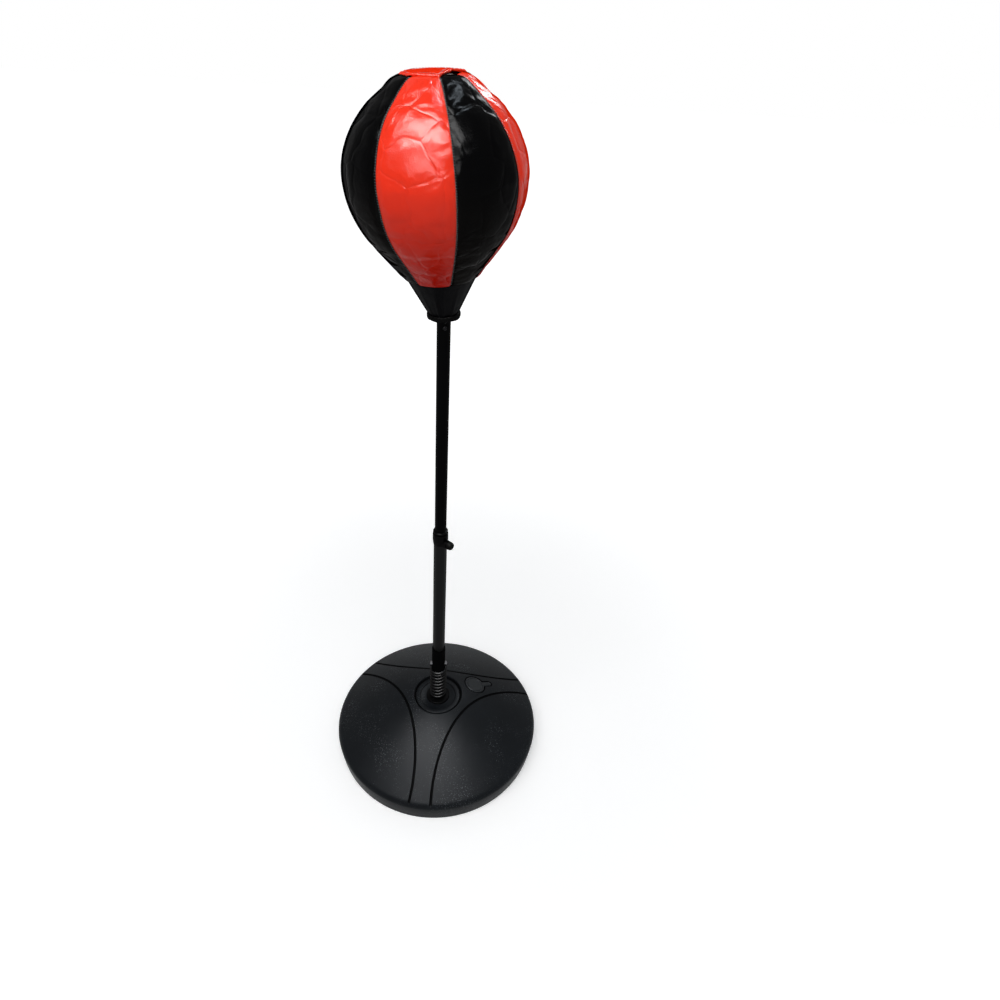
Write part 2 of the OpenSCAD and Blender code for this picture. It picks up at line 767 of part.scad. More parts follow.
module bladder() {
    foot_low = 30;
    outer = concat([[0, foot_low], [bladder_foot_r, foot_low], [bladder_foot_r, neck_drop + 6]],
        outline(bladder_low, bladder_out, crown_steps));
    inner = concat([[0, neck_drop + bladder_foot + 3], [bladder_foot_r - 2, neck_drop + bladder_foot + 3]],
        outline(bladder_low + 3, bladder_in, crown_steps));
    color(rubber) difference() {
        in_ball_frame() difference() {
            rotate_extrude() polygon(outer);
            rotate_extrude() polygon(inner);
        }
        translate([0, 0, neck_z]) cylinder(r = ball_r, h = cup_top + seat_gap - neck_z);
        translate([0, valve_reach, neck_z]) cylinder(r = valve_d / 2 + 0.1, h = neck_drop + bladder_foot + past);
    }
}

module bladder_valve() {
    color(black) translate([0, valve_reach, cup_top + seat_gap]) {
        tube(valve_d / 2, 0.6, valve_len);
    }
}

base_shell();
base_floor();
base_post();
fill_plug();
spring_foot();
anchor_bolt();
anchor_washer();
anchor_nut();
reflex_spring();
spring_plug();
pole_sleeve();
cross_bolt();
cross_nut();
lower_tube();
clamp_collar();
clamp_nut();
clamp_screw();
clamp_knob();
clamp_shoe();
guide_plug();
upper_tube();
ball_cup();
cup_screws();
neck_skirt();
neck_rim();
bladder();
bladder_valve();
top_cap();
for (i = [1:panels / 2]) {
    ball_panel(2 * i - 1, red);
    ball_panel(2 * i - 2, black);
}
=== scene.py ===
import math

import bmesh
import bpy
import numpy as np
from mathutils import Matrix, Vector, noise
from mathutils.bvhtree import BVHTree


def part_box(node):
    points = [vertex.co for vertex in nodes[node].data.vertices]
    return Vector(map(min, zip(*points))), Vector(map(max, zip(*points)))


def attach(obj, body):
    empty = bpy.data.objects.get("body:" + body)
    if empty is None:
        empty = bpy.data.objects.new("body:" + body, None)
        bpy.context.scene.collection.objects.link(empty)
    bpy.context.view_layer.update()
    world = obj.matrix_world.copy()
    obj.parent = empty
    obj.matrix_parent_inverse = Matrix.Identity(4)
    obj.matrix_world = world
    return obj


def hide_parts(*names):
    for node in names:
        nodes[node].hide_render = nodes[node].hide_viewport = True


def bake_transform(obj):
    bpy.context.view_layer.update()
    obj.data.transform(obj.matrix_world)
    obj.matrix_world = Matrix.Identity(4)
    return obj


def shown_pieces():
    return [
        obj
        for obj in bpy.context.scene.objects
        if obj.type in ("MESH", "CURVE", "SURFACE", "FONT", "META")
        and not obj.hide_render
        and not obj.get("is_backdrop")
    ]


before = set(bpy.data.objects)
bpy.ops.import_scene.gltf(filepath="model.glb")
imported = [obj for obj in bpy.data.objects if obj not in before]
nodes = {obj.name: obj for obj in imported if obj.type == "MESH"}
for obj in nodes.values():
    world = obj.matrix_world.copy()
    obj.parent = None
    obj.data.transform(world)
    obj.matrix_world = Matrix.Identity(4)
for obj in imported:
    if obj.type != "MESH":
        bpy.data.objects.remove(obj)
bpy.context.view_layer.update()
scene = bpy.context.scene
scene.view_settings.view_transform = "Standard"

# ---- Camera ----
# The photographer stands in front, a little above the ball, and looks down at the stand. The lens, tilt,
# roll and turn come from the base's outline and the pole, which stands upright on its middle.
image_size = 1000
camera_place = Vector((0, -0.8473, 1.206))
camera_lens = 25.2
camera_sensor = 36.0
camera_pitch = math.radians(36.65)
camera_roll = math.radians(4.487)
camera_turn = math.radians(6.005)
sight_length = image_size * camera_lens / camera_sensor  # the lens's length in pixels

forward = Vector((
    math.sin(camera_turn) * math.cos(camera_pitch),
    math.cos(camera_turn) * math.cos(camera_pitch),
    -math.sin(camera_pitch),
))
level_right = Vector((math.cos(camera_turn), -math.sin(camera_turn), 0))
level_up = level_right.cross(forward)
camera_right = level_right * math.cos(camera_roll) + level_up * math.sin(camera_roll)
camera_up = level_up * math.cos(camera_roll) - level_right * math.sin(camera_roll)
camera_axes = Matrix((camera_right, camera_up, -forward)).transposed()

camera = bpy.data.objects.new("camera", bpy.data.cameras.new("camera"))
scene.collection.objects.link(camera)
scene.camera = camera
camera.data.sensor_fit = "AUTO"
camera.data.sensor_width = camera_sensor
camera.data.lens = camera_lens
camera.data.clip_start, camera.data.clip_end = 0.01, 60
camera.matrix_world = Matrix.Translation(camera_place) @ camera_axes.to_4x4()

# Each feature's place in the photograph, and where its middle shows in the model
image_points = {}
shown_at = {}


def seen_at(points):
    """Where points in metres show in the photograph, in pixels."""
    away = np.asarray(points, float).reshape(-1, 3) - np.array(camera_place)
    right, up, back = (away @ np.array(camera_axes)).T
    return image_size / 2 + sight_length * np.stack([-right / back, up / back], 1)


def note_point(name, x, y, place):
    """Keeps a feature's image point together with where its middle shows."""
    image_points[name] = (x, y)
    shown_at[name] = seen_at([place])[0].tolist()


# ---- Studio floor and light ----
# A white sweep under broad, plain light from the front. The windows show only in reflections: two in
# front on the ball's red panel, and two behind on its right shoulder and crown.
floor_colour = (0.93, 0.93, 0.93)
floor_size = 9
floor_glow = (0.29, 0.60)  # near the stand, and at the horizon
glow_reach = (0.3, 1.6)
room_light = 0.30
room_colour = (0.94, 0.97, 1, 1)
white = (1, 1, 1, 1)


def material_named(name, colour, roughness, metallic=0.0):
    """A new material with a Principled BSDF set to plain values."""
    material = bpy.data.materials.new(name)
    material.use_nodes = True
    shader = material.node_tree.nodes["Principled BSDF"]
    shader.inputs["Base Color"].default_value = (*colour, 1)
    shader.inputs["Roughness"].default_value = roughness
    shader.inputs["Metallic"].default_value = metallic
    return material, shader


def node_of(tree, kind, inputs=None, **settings):
    """A new node with its settings. Its inputs are fed by sockets or set to plain values."""
    node = tree.nodes.new(kind)
    for label, value in settings.items():
        setattr(node, label, value)
    for label, value in (inputs or {}).items():
        if isinstance(value, bpy.types.NodeSocket):
            tree.links.new(value, node.inputs[label])
        else:
            node.inputs[label].default_value = value
    return node


def math_node(tree, operation, first, second, clamp=False):
    """A Math node fed by sockets or numbers."""
    return node_of(
        tree, "ShaderNodeMath", {0: first, 1: second}, operation=operation, use_clamp=clamp).outputs[0]


def range_of(tree, value, low, high, first=0.0, last=1.0, interpolation="LINEAR"):
    """A value moved from the span first to last into the span low to high."""
    return node_of(tree, "ShaderNodeMapRange", {
        "Value": value, "From Min": first, "From Max": last, "To Min": low, "To Max": high,
    }, interpolation_type=interpolation).outputs["Result"]


def seen_directly(tree):
    """1 on camera, glossy and transmission rays, else 0."""
    ray = node_of(tree, "ShaderNodeLightPath").outputs
    seen = math_node(tree, "MAXIMUM", ray["Is Camera Ray"], ray["Is Glossy Ray"])
    return math_node(tree, "MAXIMUM", seen, ray["Is Transmission Ray"])


world = scene.world or bpy.data.worlds.new("studio")
scene.world = world
world.use_nodes = True
sky = world.node_tree
sky.nodes.clear()
backdrop = node_of(sky, "ShaderNodeBackground", {"Color": white, "Strength": 1.0})
ambient = node_of(sky, "ShaderNodeBackground", {"Color": room_colour, "Strength": room_light})
either = node_of(sky, "ShaderNodeMixShader", {
    "Fac": seen_directly(sky), 1: ambient.outputs[0], 2: backdrop.outputs[0]})
node_of(sky, "ShaderNodeOutputWorld", {"Surface": either.outputs[0]})

floor_mesh = bpy.data.meshes.new("studio_floor")
floor_corners = [(x * floor_size, y * floor_size, 0) for x, y in ((-1, -1), (1, -1), (1, 1), (-1, 1))]
floor_mesh.from_pydata(floor_corners, [], [(0, 1, 2, 3)])
studio_floor = bpy.data.objects.new("studio_floor", floor_mesh)
scene.collection.objects.link(studio_floor)
floor_finish, floor_shader = material_named("studio_floor", floor_colour, 0.9)
floor_shader.inputs["Specular IOR Level"].default_value = 0.0
floor_shader.inputs["Emission Color"].default_value = white
floor_tree = floor_finish.node_tree
floor_place = node_of(floor_tree, "ShaderNodeTexCoord").outputs["Object"]
floor_reach = node_of(floor_tree, "ShaderNodeVectorMath", {0: floor_place}, operation="LENGTH")
glow = range_of(floor_tree, floor_reach.outputs["Value"], *floor_glow, *glow_reach, "SMOOTHSTEP")
shown_glow = math_node(floor_tree, "MULTIPLY", seen_directly(floor_tree), glow)
floor_tree.links.new(shown_glow, floor_shader.inputs["Emission Strength"])
floor_mesh.materials.append(floor_finish)
studio_floor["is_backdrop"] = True

softbox_aim = Vector((0, 0, 0.98))
ball_place = Vector((0, 0, 1.05))


def softbox(name, azimuth, elevation, distance, aim, size, watts, colour=(1, 1, 1), shine_only=False):
    """An area lamp on a stand round the object. Azimuth 0 is the camera's side, positive to the right."""
    a, e = math.radians(azimuth), math.radians(elevation)
    way = Vector((math.sin(a) * math.cos(e), -math.cos(a) * math.cos(e), math.sin(e)))
    lamp = bpy.data.objects.new(name, bpy.data.lights.new(name, "AREA"))
    scene.collection.objects.link(lamp)
    lamp.data.shape = "RECTANGLE"
    lamp.data.size, lamp.data.size_y = size
    lamp.data.energy = watts
    lamp.data.color = colour
    lamp.location = aim + way * distance
    lamp.rotation_euler = way.to_track_quat("Z", "Y").to_euler()
    lamp.visible_diffuse = not shine_only


softbox("key_softbox", -8, 56, 1.7, softbox_aim, (1.15, 0.85), 11)
softbox("left_softbox", -56, 38, 1.7, softbox_aim, (0.70, 0.90), 5)
softbox("front_window", -19, 65, 1.7, ball_place, (2.3, 0.66), 205, shine_only=True)
softbox("low_window", -14, 27, 1.7, ball_place, (1.3, 0.55), 38, shine_only=True)
softbox("back_window", 151, 30, 1.9, ball_place, (0.46, 0.50), 25, (0.93, 0.97, 1), shine_only=True)
softbox("roof_window", 138, 71, 1.7, ball_place, (0.12, 0.60), 19, (0.80, 0.90, 1), shine_only=True)
wide_light = bpy.data.objects.new("wide_light", bpy.data.lights.new("wide_light", "SUN"))
scene.collection.objects.link(wide_light)
wide_light.data.energy = 0.95
wide_light.data.angle = math.radians(48)
wide_light.rotation_euler = (math.radians(28), 0, math.radians(-14))

# ---- Base ----
# A blow-moulded tub of fine-grained charcoal plastic, about 380 mm across. Its top is a shallow dome with
# three curved grooves, a sunken ring seat for the spring and a keyhole pocket for the fill plug. The dome
# is turned here from the same profile as the solid, and everything sunk into it is cut with rounded lips.
mm = 0.001
base_radius = 0.190
base_draft = 0.004
base_side_height = 0.034
base_edge_radius = 0.014
dome_height = 0.1205
dome_bend = 1.5
base_wall = 0.0035
base_steps = 256
seat_radius = 0.045
seat_depth = 0.005
seat_channel_width = 0.004
seat_channel_depth = 0.0015
seat_step_radius = 0.033
seat_step_height = 0.001
edge_middle = base_radius - base_edge_radius
base_foot = base_radius - base_draft


def edge_point(turn, inset=0.0):
    """A point on the base's rounded outer edge, as radius and height."""
    r = base_edge_radius - inset
    return edge_middle + r * math.cos(turn), base_side_height + r * math.sin(turn)


# Where the dome runs into the rounded edge, found in two steps from a first guess
edge_turn = math.radians(60)
for _ in range(2):
    dome_end = edge_point(edge_turn)
    edge_turn = math.pi / 2 - math.atan(dome_bend * (dome_height - dome_end[1]) / dome_end[0])
dome_end = edge_point(edge_turn)
dome_fall = (dome_height - dome_end[1]) / dome_end[0] ** dome_bend


def dome_z(r):
    return dome_height - dome_fall * r ** dome_bend


def dome_slope(r):
    return dome_fall * dome_bend * r ** (dome_bend - 1)


def add_piece(name, mesh, smooth=True):
    """Links a mesh as an object at the origin."""
    piece = bpy.data.objects.new(name, mesh)
    scene.collection.objects.link(piece)
    if smooth:
        mesh.shade_smooth()
    return piece


def finished_mesh(name, mesh):
    """The mesh that was being built, its faces turned outward."""
    bmesh.ops.recalc_face_normals(mesh, faces=mesh.faces)
    made = bpy.data.meshes.new(name)
    mesh.to_mesh(made)
    mesh.free()
    return made


def turned_mesh(name, profile, steps):
    """A closed mesh turned about Z from (radius, height) points. Points on the axis become one vertex."""
    mesh = bmesh.new()
    rings = []
    for r, z in profile:
        turns = [2 * math.pi * i / steps for i in range(steps if r > 0 else 1)]
        rings.append([mesh.verts.new((r * math.cos(t), r * math.sin(t), z)) for t in turns])
    for low, high in zip(rings, rings[1:] + rings[:1]):
        if len(low) == len(high) == 1:
            continue
        for i in range(steps):
            j = (i + 1) % steps
            corners = (low[i % len(low)], low[j % len(low)], high[j % len(high)], high[i % len(high)])
            mesh.faces.new(list(dict.fromkeys(corners)))
    return finished_mesh(name, mesh)


def lofted_mesh(name, rings):
    """A closed solid through rings of places, each with as many, capped at both ends."""
    mesh = bmesh.new()
    rings = [[mesh.verts.new(place) for place in ring] for ring in rings]
    for low, high in zip(rings, rings[1:]):
        for i in range(len(low)):
            j = (i + 1) % len(low)
            mesh.faces.new([low[i], low[j], high[j], high[i]])
    mesh.faces.new(rings[0][::-1])
    mesh.faces.new(rings[-1])
    return finished_mesh(name, mesh)


def prism_mesh(name, layers, place=Matrix.Identity(4)):
    """A closed solid through stacked outlines, each (outline points, height), with as many points each."""
    return lofted_mesh(name, [[place @ Vector((x, y, z)) for x, y in outline] for outline, z in layers])


def cut_from(piece, mesh, keep=False):
    """Cuts a closed mesh out of a piece, or adds it with keep, and leaves a plain mesh."""
    tool = add_piece("cutter", mesh, smooth=False)
    cut = piece.modifiers.new("cut", "BOOLEAN")
    cut.operation = "UNION" if keep else "DIFFERENCE"
    cut.solver = "EXACT"
    cut.object = tool
    graph = bpy.context.evaluated_depsgraph_get()
    made = bpy.data.meshes.new_from_object(piece.evaluated_get(graph))
    piece.modifiers.remove(cut)
    old = piece.data
    piece.data = made
    bpy.data.meshes.remove(old)
    bpy.data.objects.remove(tool)
    bpy.data.meshes.remove(mesh)


def shade_by_angle(piece, degrees):
    """Smooth shading that keeps the edges sharper than the angle."""
    piece.data.shade_smooth()
    piece.data.set_sharp_from_angle(angle=math.radians(degrees))


seat_floor = dome_z(seat_radius) - seat_depth
seat_step = seat_floor + seat_step_height
channel_floor = seat_floor - seat_channel_depth
channel_radius = seat_radius - seat_channel_width
roof_z = channel_floor - base_wall
seat_profile = [
    (0.0, seat_floor), (0.020, seat_floor), (seat_step_radius - 0.6 * mm, seat_floor),
    (seat_step_radius - 0.1 * mm, seat_floor + 0.3 * mm), (seat_step_radius + 0.4 * mm, seat_step - 0.1 * mm),
    (seat_step_radius + 1.0 * mm, seat_step), (channel_radius - 0.8 * mm, seat_step),
    (channel_radius - 0.2 * mm, seat_step - 0.3 * mm), (channel_radius + 0.2 * mm, channel_floor + 0.7 * mm),
    (channel_radius + 0.9 * mm, channel_floor), (seat_radius - 0.9 * mm, channel_floor),
    (seat_radius - 0.2 * mm, channel_floor + 0.7 * mm), (seat_radius, dome_z(seat_radius) - 1.5 * mm),
    (seat_radius + 0.3 * mm, dome_z(seat_radius) - 0.7 * mm),
    (seat_radius + 1.0 * mm, dome_z(seat_radius + 1.0 * mm) - 0.15 * mm),
    (seat_radius + 2.0 * mm, dome_z(seat_radius + 2.0 * mm)),
]
dome_rings = [seat_radius + 3 * mm + (dome_end[0] - seat_radius - 3 * mm) * i / 44 for i in range(44)]
edge_profile = [edge_point(edge_turn * (1 - i / 10)) for i in range(11)]
side_profile = [
    (base_radius - base_draft * 0.5, base_side_height * 0.5),
    (base_foot + 0.10 * mm, base_wall + 0.5 * mm), (base_foot - 0.35 * mm, base_wall + 0.15 * mm),
    (base_foot - 0.35 * mm, base_wall), (base_foot - base_wall, base_wall),
]
inner_edge = [edge_point(edge_turn * i / 6, base_wall) for i in range(7)]
inner_seat = seat_radius + base_wall
inner_rings = [inner_seat + (inner_edge[-1][0] - inner_seat) * (1 - i / 20) for i in range(1, 21)]
inner_dome = [(r, dome_z(r) - base_wall * math.sqrt(1 + dome_slope(r) ** 2)) for r in inner_rings]

# The plug's own frame stands on the dome and leans with it
plug_reach = 0.0775
plug_turn = math.radians(22.5)
plug_radius = 0.0195
plug_gap = 0.0025
plug_thickness = 0.0026
plug_sink = 0.0006
tab_width = 0.009
tab_reach = 0.038
fill_radius = 0.015
pocket_radius = plug_radius + plug_gap
pocket_floor = -plug_sink - plug_thickness - 0.3 * mm
plug_tilt = math.atan(
    (dome_z(plug_reach - pocket_radius) - dome_z(plug_reach + tab_reach)) / (pocket_radius + tab_reach)
)
plug_frame = (
    Matrix.Rotation(plug_turn, 4, "Z")
    @ Matrix.Translation((plug_reach, 0, dome_z(plug_reach)))
    @ Matrix.Rotation(plug_tilt, 4, "Y")
)


def keyhole(margin):
    """The outline of the round cap with its pull tab, grown by a margin."""
    r, half = plug_radius + margin, tab_width / 2 + margin
    start = math.asin(half / r)
    cap = [(r * math.cos(t), r * math.sin(t)) for t in np.linspace(start, 2 * math.pi - start, 61)]
    middle = tab_reach - tab_width / 2
    ends = np.linspace(-math.pi / 2, math.pi / 2, 17)
    return cap + [(middle + half * math.cos(t), half * math.sin(t)) for t in ends]


base_shell = add_piece("base_shell_moulded", turned_mesh(
    "base_shell_moulded",
    seat_profile + [(r, dome_z(r)) for r in dome_rings] + edge_profile + side_profile
    + inner_edge + inner_dome + [(inner_seat, roof_z), (0.0, roof_z)], base_steps))
cut_from(base_shell, prism_mesh("under_pocket", [
    (keyhole(plug_gap + base_wall), pocket_floor - base_wall), (keyhole(plug_gap + base_wall), -1.2 * mm),
], plug_frame), keep=True)
cut_from(base_shell, prism_mesh("pocket", [
    (keyhole(plug_gap - 0.5 * mm), pocket_floor), (keyhole(plug_gap - 0.1 * mm), pocket_floor + 0.5 * mm),
    (keyhole(plug_gap), -0.6 * mm), (keyhole(plug_gap + 0.3 * mm), 0.0),
    (keyhole(plug_gap + 0.9 * mm), 0.6 * mm), (keyhole(plug_gap + 1.8 * mm), 1.4 * mm),
], plug_frame))
fill_hole = turned_mesh("fill_hole", [(0, -0.03), (fill_radius, -0.03), (fill_radius, 0.0), (0, 0.0)], 64)
fill_hole.transform(plug_frame)
cut_from(base_shell, fill_hole)
bolt_hole_radius = 0.0041
cut_from(base_shell, turned_mesh(
    "bolt_hole", [(0, 0.05), (bolt_hole_radius, 0.05), (bolt_hole_radius, 0.13), (0, 0.13)], 32))

groove_radius = 0.256
groove_near = 0.060
groove_turn = math.radians(81)
groove_half = 0.00225
groove_depth = 0.0024
groove_steps = 120
groove_side = [(0.5, -0.92), (0.85, -0.6), (1.02, -0.15), (1.25, 0.3), (1.8, 1.6)]
groove_section = [(-x, y) for x, y in groove_side[::-1]] + [(0, -1)] + groove_side


def groove_cutter(turn):
    """A bar with a rounded keel that follows one curved groove over the dome."""
    middle = Vector((math.cos(turn), math.sin(turn), 0)) * (groove_near + groove_radius)
    reach = base_radius - 0.5 * mm
    half_sweep = math.acos(
        (middle.length ** 2 + groove_radius ** 2 - reach ** 2) / (2 * middle.length * groove_radius))
    rings = []
    for i in range(groove_steps + 1):
        t = turn + math.pi + half_sweep * (2 * i / groove_steps - 1)
        away = Vector((math.cos(t), math.sin(t), 0))
        foot = middle + away * groove_radius
        outward = foot.normalized()
        up = (Vector((0, 0, 1)) + outward * dome_slope(foot.length)).normalized()
        along = Vector((-away.y, away.x, 0))
        along = (along - up * along.dot(up)).normalized()
        side = up.cross(along)
        foot.z = dome_z(foot.length)
        rings.append([
            foot + side * (x * groove_half) + up * (y * groove_depth + 0.2 * mm) for x, y in groove_section])
    return lofted_mesh("groove", rings)


for k in range(3):
    cut_from(base_shell, groove_cutter(groove_turn + k * 2 * math.pi / 3))
shade_by_angle(base_shell, 38)


def new_finish(name, settings):
    """An empty shader node group for a finish on a vector, and the sockets of its settings."""
    tree = bpy.data.node_groups.new(name, "ShaderNodeTree")
    tree.interface.new_socket("Vector", in_out="INPUT", socket_type="NodeSocketVector")
    for label, value in settings.items():
        kind = "NodeSocketFloat" if isinstance(value, float) else "NodeSocketColor"
        socket = tree.interface.new_socket(label, in_out="INPUT", socket_type=kind)
        socket.default_value = value if isinstance(value, float) else (*value, 1)
    for label, kind in (("Color", "Color"), ("Roughness", "Float"), ("Height", "Float")):
        tree.interface.new_socket(label, in_out="OUTPUT", socket_type="NodeSocket" + kind)
    return tree, node_of(tree, "NodeGroupInput").outputs


def end_finish(tree, source, colour, wear, height):
    """Ends a finish with its colour, its roughness between the two limits, and its height for the bump."""
    rough = range_of(tree, wear, source["Smoothest"], source["Roughest"])
    node_of(tree, "NodeGroupOutput", {"Color": colour, "Roughness": rough, "Height": height})


def mix_of(tree, factor, first, second):
    """Two colours mixed by a factor."""
    return node_of(tree, "ShaderNodeMix", {
        "Factor": factor, "A": first, "B": second}, data_type="RGBA").outputs["Result"]


def noise_of(tree, vector, scale, detail, output="Fac"):
    """A noise texture's value or colour on a vector."""
    return node_of(tree, "ShaderNodeTexNoise", {
        "Vector": vector, "Scale": scale, "Detail": detail}).outputs[output]


def ramp_of(tree, value, *stops):
    """A colour ramp as a mask: stops are (place, grey)."""
    node = node_of(tree, "ShaderNodeValToRGB", {"Fac": value})
    ramp = node.color_ramp
    for element, (place, grey) in zip(ramp.elements, (stops[0], stops[-1])):
        element.position = place
        element.color = (grey, grey, grey, 1)
    for place, grey in stops[1:-1]:
        ramp.elements.new(place).color = (grey, grey, grey, 1)
    return node.outputs["Color"]


# Moulded grain: the fine sparkle of a textured mould, soft blotches, and a few pale specks of dust
speck_colour = (0.13, 0.14, 0.15, 1)
moulded_grain, grain = new_finish("moulded_grain", {
    "Grain": 900.0, "Colour": (0.03, 0.03, 0.03), "Lighter": (0.06, 0.06, 0.06), "Specks": 0.5,
    "Smoothest": 0.4, "Roughest": 0.55,
})
fine = noise_of(moulded_grain, grain["Vector"], grain["Grain"], 2.0)
cells = node_of(moulded_grain, "ShaderNodeTexVoronoi", {"Vector": grain["Vector"], "Scale": 620.0})
blotch = noise_of(moulded_grain, grain["Vector"], 9.0, 3.0)
patch = ramp_of(moulded_grain, noise_of(moulded_grain, grain["Vector"], 16.0, 4.0), (0.46, 0.0), (0.66, 1.0))
speck = ramp_of(moulded_grain, noise_of(moulded_grain, grain["Vector"], 640.0, 1.0), (0.64, 0.0), (0.72, 1.0))
speck = math_node(moulded_grain, "MULTIPLY", speck, patch)
speck = math_node(moulded_grain, "MULTIPLY", speck, grain["Specks"], clamp=True)
tint = mix_of(
    moulded_grain, math_node(moulded_grain, "MULTIPLY", blotch, 0.55), grain["Colour"], grain["Lighter"])
relief = math_node(moulded_grain, "MULTIPLY", cells.outputs["Distance"], 0.5)
end_finish(moulded_grain, grain, mix_of(moulded_grain, speck, tint, speck_colour), blotch,
           math_node(moulded_grain, "ADD", fine, relief))


def finish_with(group, name, bump, rough=None, shine=None, dark_rim=False, metallic=0.0, **settings):
    """A material whose colour, roughness and bump come from one of the groups, on Object coordinates.
    The bump is its height in metres and strength. A dark rim fades the shine out towards the outline."""
    if rough:
        settings["Smoothest"], settings["Roughest"] = rough
    for label, value in settings.items():
        settings[label] = (*value, 1) if isinstance(value, tuple) else value
    material, shader = material_named(name, (0.5, 0.5, 0.5), 0.5, metallic)
    tree = material.node_tree
    settings["Vector"] = node_of(tree, "ShaderNodeTexCoord").outputs["Object"]
    surface = node_of(tree, "ShaderNodeGroup", settings, node_tree=group).outputs
    bumped = node_of(tree, "ShaderNodeBump", {
        "Distance": bump[0], "Strength": bump[1], "Height": surface["Height"]})
    tree.links.new(surface["Color"], shader.inputs["Base Color"])
    tree.links.new(surface["Roughness"], shader.inputs["Roughness"])
    tree.links.new(bumped.outputs["Normal"], shader.inputs["Normal"])
    if shine is not None:
        shader.inputs["Specular IOR Level"].default_value = shine
    if dark_rim:
        slant = node_of(tree, "ShaderNodeLayerWeight", {"Blend": 0.5}).outputs["Facing"]
        tree.links.new(range_of(tree, slant, shine, 0.0, last=0.78), shader.inputs["Specular IOR Level"])
    return material


def give(piece, material):
    """Puts one material on a piece in place of what it has."""
    piece.data.materials.clear()
    piece.data.materials.append(material)


base_plastic = finish_with(
    moulded_grain, "base_plastic", (0.00022, 0.55), rough=(0.32, 0.44), shine=0.037,
    Grain=850.0, Colour=(0.0045, 0.0053, 0.0064), Lighter=(0.0115, 0.0140, 0.0170), Specks=0.75)
# Painted shade: a near-black copy of the base plastic for the grooves, seat rings and pocket
recess_painted_shade = finish_with(
    moulded_grain, "recess_painted_shade", (0.00015, 0.5), rough=(0.55, 0.7), shine=0.01,
    Grain=850.0, Colour=(0.0008, 0.0009, 0.001), Lighter=(0.0016, 0.0018, 0.002), Specks=0.0)
give(base_shell, base_plastic)
base_shell.data.materials.append(recess_painted_shade)
# The grooves, the seat's two rings and the pocket get the near-black recess material: painted shade in the
# hollows
for face in base_shell.data.polygons:
    r, z = math.hypot(face.center.x, face.center.y), face.center.z
    if r < channel_radius:
        shaded_recess = -3.5 * mm < r - seat_step_radius < 0.2 * mm
    elif r < seat_radius + 0.5 * mm:
        shaded_recess = roof_z + 0.5 * base_wall < z < seat_floor + 0.3 * mm
    else:
        shaded_recess = 0.6 * mm < dome_z(r) - z < 4 * mm and r < base_radius - 4 * mm
    face.material_index = int(shaded_recess)
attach(base_shell, "base")
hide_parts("base_shell")
for hidden in ("base_floor", "base_post"):
    give(nodes[hidden], base_plastic)

# ---- Fill plug ----
# A soft moulded cap with a pull tab that closes the fill hole. It lies in its keyhole pocket, its top
# just under the dome, with a round groove near its edge and two finger ribs at the end of the tab.
plug_top = -plug_sink
plug_low = plug_top - plug_thickness
stopper_low = plug_low - 12 * mm
tab_ribs = (30.6 * mm, 33.4 * mm)
rib_radius = 0.6 * mm
rib_half = 2.4 * mm


def rib_end(sign):
    """The rounded end of a rib's profile, from its side to its tip."""
    return [(rib_radius * math.cos(t), sign * (rib_half + rib_radius * math.sin(t)))
            for t in (math.radians(22.5 * i) for i in range(4))]


fill_plug = add_piece("fill_plug_cap", prism_mesh("fill_plug_cap", [
    (keyhole(-0.4 * mm), plug_low), (keyhole(0.0), plug_low + 0.4 * mm), (keyhole(0.0), plug_top - 0.9 * mm),
    (keyhole(-0.15 * mm), plug_top - 0.45 * mm), (keyhole(-0.5 * mm), plug_top - 0.12 * mm),
    (keyhole(-1.1 * mm), plug_top),
]))
cut_from(fill_plug, turned_mesh("plug_ring", [
    (14.6 * mm, plug_top + 0.5 * mm), (14.9 * mm, plug_top - 0.3 * mm), (15.3 * mm, plug_top - 0.8 * mm),
    (16.3 * mm, plug_top - 0.8 * mm), (16.7 * mm, plug_top - 0.3 * mm), (17.0 * mm, plug_top + 0.5 * mm),
], 96))
rib_tip = rib_half + rib_radius
for along in tab_ribs:
    rib = turned_mesh(
        "tab_rib", [(0, -rib_tip)] + rib_end(-1)[::-1] + rib_end(1) + [(0, rib_tip)], 16)
    rib.transform(Matrix.Translation((along, 0, plug_top + 0.05 * mm)) @ Matrix.Rotation(math.pi / 2, 4, "X"))
    cut_from(fill_plug, rib, keep=True)
cut_from(fill_plug, turned_mesh("stopper", [
    (fill_radius - 3 * mm, plug_low - 1 * mm), (fill_radius - 3 * mm, stopper_low),
    (fill_radius - 0.8 * mm, stopper_low), (fill_radius - 0.05 * mm, stopper_low + 1.2 * mm),
    (fill_radius - 0.05 * mm, plug_low + 0.6 * mm), (0, plug_low + 0.6 * mm), (0, plug_low - 1 * mm),
], 64), keep=True)
fill_plug.data.transform(plug_frame)
shade_by_angle(fill_plug, 40)
plug_plastic = finish_with(
    moulded_grain, "plug_plastic", (0.0001, 0.5), rough=(0.34, 0.46), shine=0.08,
    Grain=1400.0, Colour=(0.008, 0.0095, 0.011), Lighter=(0.015, 0.018, 0.021), Specks=0.3)
give(fill_plug, plug_plastic)
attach(fill_plug, "plug")
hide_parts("fill_plug")
note_point("plug_middle", 474.8, 684.3, plug_frame @ Vector((0, 0, plug_top)))

# ---- Spring foot and its anchor ----
# A turned black plastic foot sits in the base's ring seat and is drawn down by a plated bolt from below,
# with a washer and nut. The spring is wound onto its peg.
foot_plastic = finish_with(
    moulded_grain, "foot_plastic", (0.00008, 0.4), rough=(0.32, 0.45), shine=0.03, dark_rim=True,
    Grain=1500.0, Colour=(0.001, 0.001, 0.001), Lighter=(0.002, 0.002, 0.0025), Specks=0.1)
give(nodes["spring_foot"], foot_plastic)

